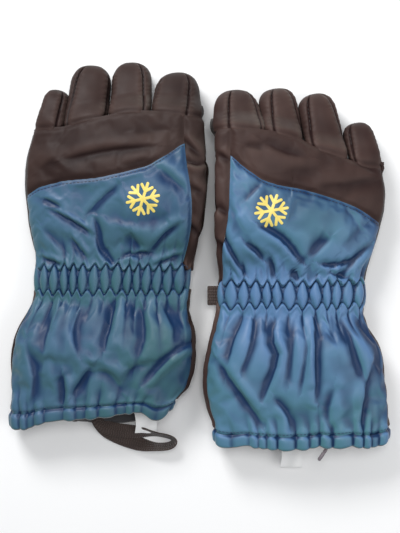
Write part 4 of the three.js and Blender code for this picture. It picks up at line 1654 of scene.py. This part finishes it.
def curve_through(points, count):
    """A smooth curve through a few points, evenly sampled (Catmull-Rom)."""
    p = np.array(points, float)
    p = np.concatenate([[2 * p[0] - p[1]], p, [2 * p[-1] - p[-2]]])
    out = []
    for k in range(1, len(p) - 2):
        t = np.linspace(0, 1, 24, endpoint=False)[:, None]
        a, b, c, d = p[k - 1 : k + 3]
        bent = (2 * a - 5 * b + 4 * c - d) * t**2 + (3 * b - a - 3 * c + d) * t**3
        out.append(0.5 * (2 * b + (c - a) * t + bent))
    out = np.concatenate([*out, p[-2:-1]])
    run = np.concatenate([[0], np.cumsum(np.linalg.norm(np.diff(out, axis=0), axis=1))])
    even = np.linspace(0, run[-1], count)
    return np.stack([np.interp(even, run, out[:, k]) for k in range(p.shape[1])], -1)


class GLOVES_OT_trim(bpy.types.Operator):
    """Add the webbing loop, the wrist tab, the cord pull and the sewn-in labels"""

    bl_idname = "gloves.trim"
    bl_label = "Loop, Tab, Pull and Labels"

    def execute(self, context):
        self.loop()
        self.tab()
        self.pull()
        for name in SIDES:
            self.label(name)
        return {"FINISHED"}

    def loop(self):
        """A flat strap from the mouth, folded back under itself, on edge where it turns."""
        route_mm = [
            (-82, -112, 8), (-82.5, -119, 7), (-81, -127, 6), (-73, -132.5, 5.2),
            (-60, -134.8, 5.0), (-46, -135.8, 5.2), (-33, -137.5, 5.8), (-24, -139.5, 6.2),
            (-20.2, -142.5, 6.2), (-23, -146, 6.0), (-31, -147.6, 5.4), (-42, -147.0, 4.0),
            (-53, -144.5, 2.8), (-65, -140.5, 2.2), (-76, -134.5, 2.2), (-82.5, -126, 2.6),
            (-83.5, -118, 3.4), (-83, -111, 4.6),
        ]
        path = curve_through(np.array(route_mm) * MM, 170)
        tangent = np.gradient(path, axis=0)
        flat = np.stack([-tangent[:, 1], tangent[:, 0], 0 * tangent[:, 0]], -1)
        flat /= np.linalg.norm(flat, axis=1, keepdims=True)
        onto_edge = smoothstep((path[:, 0] + 62 * MM) / (30 * MM))[:, None] * 1.18
        lean = flat * np.cos(onto_edge) + np.array([0, 0, 1.0]) * np.sin(onto_edge)
        strap_object("left_hang_loop", path, lean, 11.5 * MM, 1.3 * MM, "left_loop")

    def tab(self):
        low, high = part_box("right_wrist_tab")
        middle = (low.y + high.y) / 2
        z0, z1 = low.z + 0.9 * MM, high.z - 0.9 * MM
        zm = (z0 + z1) / 2
        route = [
            (high.x + 2 * MM, middle, z0),
            (low.x + 4.5 * MM, middle, z0),
            (low.x + 1.6 * MM, middle, z0 + 0.6 * MM),
            (low.x + 0.8 * MM, middle, zm),
            (low.x + 1.6 * MM, middle, z1 - 0.6 * MM),
            (low.x + 4.5 * MM, middle, z1),
            (high.x + 2 * MM, middle, z1),
        ]
        width = high.y - low.y - 0.6 * MM
        strap_object("right_wrist_tab", curve_through(route, 50), (0, 1, 0), width, 1.5 * MM, "right_tab")

    def pull(self):
        low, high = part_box("right_cord_pull")
        start = np.array([low.x + 1.3 * MM, low.y + 1.3 * MM, (low.z + high.z) / 2])
        stop = np.array([high.x - 1.3 * MM, high.y - 1.3 * MM, (low.z + high.z) / 2])
        run = np.linalg.norm(stop - start)
        along = (stop - start) / run
        radii = [
            (0, 0.0), (0.2, 0.8), (0.7, 1.25), (1.6, 1.45), (6.5, 1.45),
            (7.4, 1.2), (8.2, 1.45), (10.5, 1.35), (11.6, 0.95), (run / MM, 0.95),
        ]  # place along the bar and its radius there, in millimetres
        sides = 20
        side = np.array([along[1], -along[0], 0.0])
        up = np.array([0.0, 0.0, 1.0])
        angle = np.linspace(0, 2 * math.pi, sides, endpoint=False)
        points = [start.tolist()]
        for place, radius in radii[1:]:
            centre = start + along * place * MM
            for a in angle:
                points.append((centre + (side * math.cos(a) + up * math.sin(a)) * radius * MM).tolist())
        points.append(stop.tolist())
        faces = [[0, 1 + (k + 1) % sides, 1 + k] for k in range(sides)]
        for j in range(len(radii) - 2):
            for k in range(sides):
                m = (k + 1) % sides
                a, b = 1 + j * sides, 1 + (j + 1) * sides
                faces.append([a + k, a + m, b + m, b + k])
        last = 1 + (len(radii) - 2) * sides
        faces += [[last + k, last + (k + 1) % sides, len(points) - 1] for k in range(sides)]
        points = np.array(points)
        if volume_of(points, faces) < 0:
            faces = [f[::-1] for f in faces]
        mesh = bpy.data.meshes.new("right_cord_pull_bar")
        mesh.from_pydata(points, [], faces)
        mesh.shade_smooth()
        piece = placed("right_cord_pull_bar", mesh)
        finish_piece(piece, finish("pull"), ["right_cord_pull"], "right_pull")

    def label(self, name):
        low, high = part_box(f"{name}_care_label")
        rows, columns = 40, 26
        u = np.linspace(0, 1, columns)[None, :]
        v = np.linspace(0, 1, rows)[:, None]
        extra = 3 * MM  # the ribbon stands past its core on each side
        x = low.x - extra + (high.x - low.x + 2 * extra) * u + 1.2 * MM * np.sin(3 * v) * (1 - u)
        y = high.y + (low.y - high.y) * v + 0 * u
        droop = 3.5 * MM * v**1.6
        z = high.z - droop + 0.7 * MM * np.sin(2.6 * math.pi * u + 3 * v) * v
        points = np.stack(np.broadcast_arrays(x, y, z), -1)
        wall = wall_object(f"{name}_care_label_ribbon", points[::-1].copy(), 0.35 * MM)
        finish_piece(wall, finish("label"), [f"{name}_care_label"], f"{name}_label")


# ---------------------------------------------------------------- badge and stitches


def surface_tree(names):
    """A ray-casting tree of finished pieces."""
    points, faces = [], []
    for name in names:
        mesh = bpy.data.objects[name].data
        first = len(points)
        points += [v.co.copy() for v in mesh.vertices]
        faces += [[first + i for i in p.vertices] for p in mesh.polygons]
    return BVHTree.FromPolygons(points, faces)


def height_at(tree, x, y):
    """Height of the highest surface point over x, y."""
    hit = tree.ray_cast(Vector((x, y, 0.2)), Vector((0, 0, -1)))[0]
    if hit is None:
        raise RuntimeError("the badge runs past the cloth")
    return hit.z


class GLOVES_OT_badges(bpy.types.Operator):
    """Print a plain six-armed snow star on the back of each hand"""

    bl_idname = "gloves.badges"
    bl_label = "Badges"

    def execute(self, context):
        for name in SIDES:
            self.badge(name)
        return {"FINISHED"}

    def badge(self, name):
        spec = CLOTH[name]["badge"]
        cx, cy = (v * MM for v in spec["at_mm"])
        radius = spec["size_mm"] / 2 * MM
        tree = surface_tree([f"{name}_back_panel_cloth"])
        width = 2.2 * MM
        bars = []
        for arm in range(3):
            angle = math.radians(spec["turn"] + 60 * arm)
            bars.append((-radius, 0, radius, 0, angle))
        for arm in range(6):
            angle = math.radians(spec["turn"] + 60 * arm)
            for lean in (-1, 1):
                bars.append((0.5 * radius, 0, 0.84 * radius, lean * 0.34 * radius, angle))
        points, faces = [], []
        for x0, y0, x1, y1, angle in bars:
            self.bar(points, faces, tree, (cx, cy), (x0, y0, x1, y1), angle, width)
        mesh = bpy.data.meshes.new(f"{name}_badge")
        mesh.from_pydata(points, [], faces)
        mesh.shade_smooth()
        mesh.set_sharp_from_angle(angle=math.radians(50))
        piece = placed(f"{name}_badge", mesh)
        piece.data.materials.append(finish("badge"))
        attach(piece, f"{name}_hand")

    def bar(self, points, faces, tree, centre, ends, angle, width):
        """A round-ended bar that lies on the cloth, as a closed slab."""
        x0, y0, x1, y1 = ends
        length = math.hypot(x1 - x0, y1 - y0)
        ux, uy = (x1 - x0) / length, (y1 - y0) / length
        steps = max(4, int(length / (0.7 * MM)))
        outline = []
        half = width / 2
        rounding = np.linspace(0.15, math.pi / 2, 5)
        stations = [(-half * math.cos(a), half * math.sin(a)) for a in rounding]
        stations += [(t, half) for t in np.linspace(0, length, steps)[1:-1]]
        stations += [(length + half * math.cos(a), half * math.sin(a)) for a in rounding[::-1]]
        ca, sa = math.cos(angle), math.sin(angle)
        first = len(points)
        for t, w in stations:
            row = []
            for side in (-1, -0.5, 0, 0.5, 1):
                lx, ly = x0 + ux * t - uy * w * side, y0 + uy * t + ux * w * side
                x, y = centre[0] + ca * lx - sa * ly, centre[1] + sa * lx + ca * ly
                row.append((x, y, height_at(tree, x, y)))
            outline.append(row)
        rows = len(outline)
        for lift in (0.28 * MM, -0.6 * MM):
            for row in outline:
                for k, (x, y, z) in enumerate(row):
                    edge = 0.12 * MM if k in (0, 4) and lift > 0 else 0
                    points.append((x, y, z + lift - edge))
        across = 5
        under = first + rows * across
        slab = []
        for j in range(rows - 1):
            for i in range(across - 1):
                a, b = j * across + i, (j + 1) * across + i
                slab.append([first + a, first + a + 1, first + b + 1, first + b])
                slab.append([under + a, under + b, under + b + 1, under + a + 1])
            for i, flip in ((0, False), (across - 1, True)):
                a, b = j * across + i, (j + 1) * across + i
                quad = [first + a, first + b, under + b, under + a]
                slab.append(quad[::-1] if flip else quad)
        for j, flip in ((0, True), (rows - 1, False)):
            for i in range(across - 1):
                a = j * across + i
                quad = [first + a, first + a + 1, under + a + 1, under + a]
                slab.append(quad[::-1] if flip else quad)
        if volume_of(np.array(points), slab) < 0:
            slab = [f[::-1] for f in slab]
        faces.extend(slab)


def stitch_tree():
    """Geometry Nodes that lay stitches end to end along a path."""
    tree = bpy.data.node_groups.new("stitches", "GeometryNodeTree")
    face = tree.interface
    face.new_socket("Path", in_out="INPUT", socket_type="NodeSocketGeometry")
    sizes = (("Stitch length", 2.3 * MM), ("Stitch pitch", 3.0 * MM), ("Thread width", 0.55 * MM))
    for name, default in sizes:
        face.new_socket(name, in_out="INPUT", socket_type="NodeSocketFloat").default_value = default
    face.new_socket("Thread", in_out="INPUT", socket_type="NodeSocketMaterial")
    face.new_socket("Stitches", in_out="OUTPUT", socket_type="NodeSocketGeometry")
    add, link = tree.nodes.new, tree.links.new
    given, result = add("NodeGroupInput"), add("NodeGroupOutput")
    curve, even = add("GeometryNodeMeshToCurve"), add("GeometryNodeResampleCurve")
    even.mode = "LENGTH"
    link(given.outputs["Path"], curve.inputs[0])
    link(curve.outputs[0], even.inputs["Curve"])
    link(given.outputs["Stitch pitch"], even.inputs["Length"])
    ball = add("GeometryNodeMeshUVSphere")
    ball.inputs["Segments"].default_value = 6
    ball.inputs["Rings"].default_value = 4
    ball.inputs["Radius"].default_value = 0.5
    size = add("ShaderNodeCombineXYZ")
    link(given.outputs["Thread width"], size.inputs[0])
    link(given.outputs["Thread width"], size.inputs[1])
    link(given.outputs["Stitch length"], size.inputs[2])
    tangent, turn = add("GeometryNodeInputTangent"), add("FunctionNodeAlignRotationToVector")
    turn.axis = "Z"
    link(tangent.outputs[0], turn.inputs["Vector"])
    place = add("GeometryNodeInstanceOnPoints")
    link(even.outputs[0], place.inputs["Points"])
    link(ball.outputs["Mesh"], place.inputs["Instance"])
    link(turn.outputs[0], place.inputs["Rotation"])
    link(size.outputs[0], place.inputs["Scale"])
    real, paint = add("GeometryNodeRealizeInstances"), add("GeometryNodeSetMaterial")
    link(place.outputs[0], real.inputs[0])
    link(real.outputs[0], paint.inputs["Geometry"])
    link(given.outputs["Thread"], paint.inputs["Material"])
    link(paint.outputs[0], result.inputs[0])
    return tree


def onto_cloth(tree, outer, inner):
    """Where lines from outer points to inner points first meet the cloth."""
    found = []
    for a, b in zip(outer.reshape(-1, 3), inner.reshape(-1, 3)):
        way = Vector(b - a)
        hit = tree.ray_cast(Vector(a), way.normalized(), way.length)[0]
        if hit:
            found.append(hit - way.normalized() * 0.12 * MM)
    return found


class GLOVES_OT_stitches(bpy.types.Operator):
    """Sew the colour seams, the shirring rows, the hems and the fingers' seams with thread"""

    bl_idname = "gloves.stitches"
    bl_label = "Stitches"

    def execute(self, context):
        self.tree = stitch_tree()
        for name in SIDES:
            self.colour_seam(name)
            self.shirring(name)
            self.hem(name)
            for which in FINGERS:
                self.finger(name, which)
        return {"FINISHED"}

    def sew(self, piece_name, paths, thread, slot, body):
        """Stitches along paths, each a list of points, as one plain mesh."""
        mesh = bpy.data.meshes.new(piece_name)
        points, edges = [], []
        for path in paths:
            edges += [(len(points) + k, len(points) + k + 1) for k in range(len(path) - 1)]
            points += path
        mesh.from_pydata(points, edges, [])
        source = placed("thread_path", mesh)
        sewing = source.modifiers.new("Stitches", "NODES")
        sewing.node_group = self.tree
        socket = next(i for i in self.tree.interface.items_tree if i.name == "Thread")
        sewing[socket.identifier] = finish(thread)
        bpy.context.view_layer.update()
        done = bpy.data.meshes.new_from_object(source.evaluated_get(bpy.context.evaluated_depsgraph_get()))
        bpy.data.objects.remove(source)
        piece = placed(piece_name, done)
        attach(piece, body)

    def round_form(self, name, pieces, degrees, y):
        hand = form(name)
        tree = surface_tree([f"{name}_{piece}_cloth" for piece in pieces])
        return onto_cloth(tree, hand.points(degrees, y, -7 * MM), hand.points(degrees, y, 5 * MM))

    def colour_seam(self, name):
        hand = form(name)
        middle = rows_of(name)[UPPER] + 45 * MM
        back = hand.columns(SEAM["gusset"] + 2, SEAM["little"] - 2, 1.5 * MM, middle)
        y = along_line(hand, back, lambda x: colour_y(name, x) - 2.4 * MM, middle, by_gusset=True)
        path = self.round_form(name, ["back_panel"], narrowed(hand, back, y), y)
        self.sew(f"{name}_colour_seam_stitches", [path], "dark_thread", "dark_nylon", f"{name}_hand")

    def shirring(self, name):
        degrees = form(name).columns(0, 360, 0.9 * MM, sum(rows_of(name)) / 2)
        pieces = ["wrist_sleeve", "back_panel", "palm_panel", "side_gusset", "cuff_back", "cuff_palm"]
        for row, label, part in ((UPPER, "upper", "hand"), (LOWER, "lower", "cuff")):
            y = row_line(name, degrees, row)
            path = self.round_form(name, pieces, degrees, y)
            self.sew(f"{name}_{label}_row_stitches", [path], "blue_thread", "blue_nylon", f"{name}_{part}")

    def hem(self, name):
        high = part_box(f"{name}_hem_band")[1].y
        degrees = form(name).columns(0, 360, 1.5 * MM, high)
        y = np.full(degrees.shape, high + 1.8 * MM)
        path = self.round_form(name, ["cuff_back", "cuff_palm"], degrees, y)
        self.sew(f"{name}_hem_stitches", [path], "blue_thread", "blue_nylon", f"{name}_cuff")

    def finger(self, name, which):
        shape = digit(name, which)
        tree = surface_tree([f"{name}_{which}_back_cloth"])
        s = np.arange(13 * MM, shape.length - 5 * MM, 1.5 * MM)
        paths = []
        for root_share, tip_share in FINGER_SEAMS[name][which]:
            if max(abs(root_share), abs(tip_share)) > 0.9:
                continue
            across = (root_share + (tip_share - root_share) * s / shape.length) * shape.root_half[0]
            places = shape.root + shape.along * s[:, None] + shape.sideways * across[:, None]
            high, low = places.copy(), places.copy()
            high[:, 2], low[:, 2] = 80 * MM, 0
            paths.append(onto_cloth(tree, high, low))
        if paths:
            self.sew(f"{name}_{which}_seam_stitches", paths, "dark_thread", "dark_nylon", shape.body)


# ---------------------------------------------------------------- stage


class GLOVES_OT_stage(bpy.types.Operator):
    """Set the floor, the soft lights and the camera over the pair"""

    bl_idname = "gloves.stage"
    bl_label = "Stage"

    def execute(self, context):
        scene = context.scene
        scene.view_settings.view_transform = "Standard"
        self.floor()
        self.lights(scene)
        camera_data = bpy.data.cameras.new("camera")
        camera_data.sensor_fit = "VERTICAL"
        camera_data.sensor_height = 24
        distance = 0.78
        framed = 0.4264  # height of what the frame takes in, at the gloves' mid height
        camera_data.lens = 24 * distance / framed
        camera = bpy.data.objects.new("camera", camera_data)
        camera.location = (0.0005, -0.001, 0.018 + distance)
        scene.collection.objects.link(camera)
        scene.camera = camera
        return {"FINISHED"}

    def floor(self):
        size = 3.0
        mesh = bpy.data.meshes.new("floor")
        corners = [(x * size, y * size, 0) for x, y in ((-1, -1), (1, -1), (1, 1), (-1, 1))]
        mesh.from_pydata(corners, [], [(0, 1, 2, 3)])
        floor = placed("floor", mesh)
        mesh.materials.append(finish("floor"))

    def lights(self, scene):
        world = bpy.data.worlds.new("studio")
        world.use_nodes = True
        background = world.node_tree.nodes["Background"]
        background.inputs["Color"].default_value = (0.95, 0.97, 1.0, 1)
        background.inputs["Strength"].default_value = 0.34
        scene.world = world
        for name, place, energy, size in (
            ("key", (-0.45, 0.8, 0.75), 11, 0.4),
            ("fill", (0.8, -0.2, 0.8), 3.5, 0.7),
            ("top", (0.05, 0.25, 1.3), 5.5, 0.45),
        ):
            data = bpy.data.lights.new(name, "AREA")
            data.energy = energy
            data.size = size
            light = bpy.data.objects.new(name, data)
            light.location = place
            light.rotation_euler = (-Vector(place)).to_track_quat("-Z", "Y").to_euler()
            scene.collection.objects.link(light)


# ---------------------------------------------------------------- panel and registration

OPERATORS = (
    GLOVES_OT_stage,
    GLOVES_OT_hand,
    GLOVES_OT_wrist,
    GLOVES_OT_cuffs,
    GLOVES_OT_fingers,
    GLOVES_OT_thumbs,
    GLOVES_OT_linings,
    GLOVES_OT_trim,
    GLOVES_OT_badges,
    GLOVES_OT_stitches,
)


class GLOVES_PT_panel(bpy.types.Panel):
    """Buttons that build the gloves, in order"""

    bl_idname = "GLOVES_PT_panel"
    bl_label = "Gauntlet Gloves"
    bl_space_type = "VIEW_3D"
    bl_region_type = "UI"
    bl_category = "Gloves"

    def draw(self, context):
        for group in (context.scene.glove_cloth, context.scene.glove_colours):
            for name in type(group).__annotations__:
                self.layout.prop(group, name)
        for operator in OPERATORS:
            self.layout.operator(operator.bl_idname)


CLASSES = (GloveCloth, GloveColours, *OPERATORS, GLOVES_PT_panel)


def register():
    for cls in CLASSES:
        bpy.utils.register_class(cls)
    bpy.types.Scene.glove_cloth = bpy.props.PointerProperty(type=GloveCloth)
    bpy.types.Scene.glove_colours = bpy.props.PointerProperty(type=GloveColours)


def unregister():
    del bpy.types.Scene.glove_colours
    del bpy.types.Scene.glove_cloth
    for cls in reversed(CLASSES):
        bpy.utils.unregister_class(cls)


def main():
    register()
    for operator in OPERATORS:
        group, action = operator.bl_idname.split(".")
        getattr(getattr(bpy.ops, group), action)()


if __name__ == "__main__":
    main()
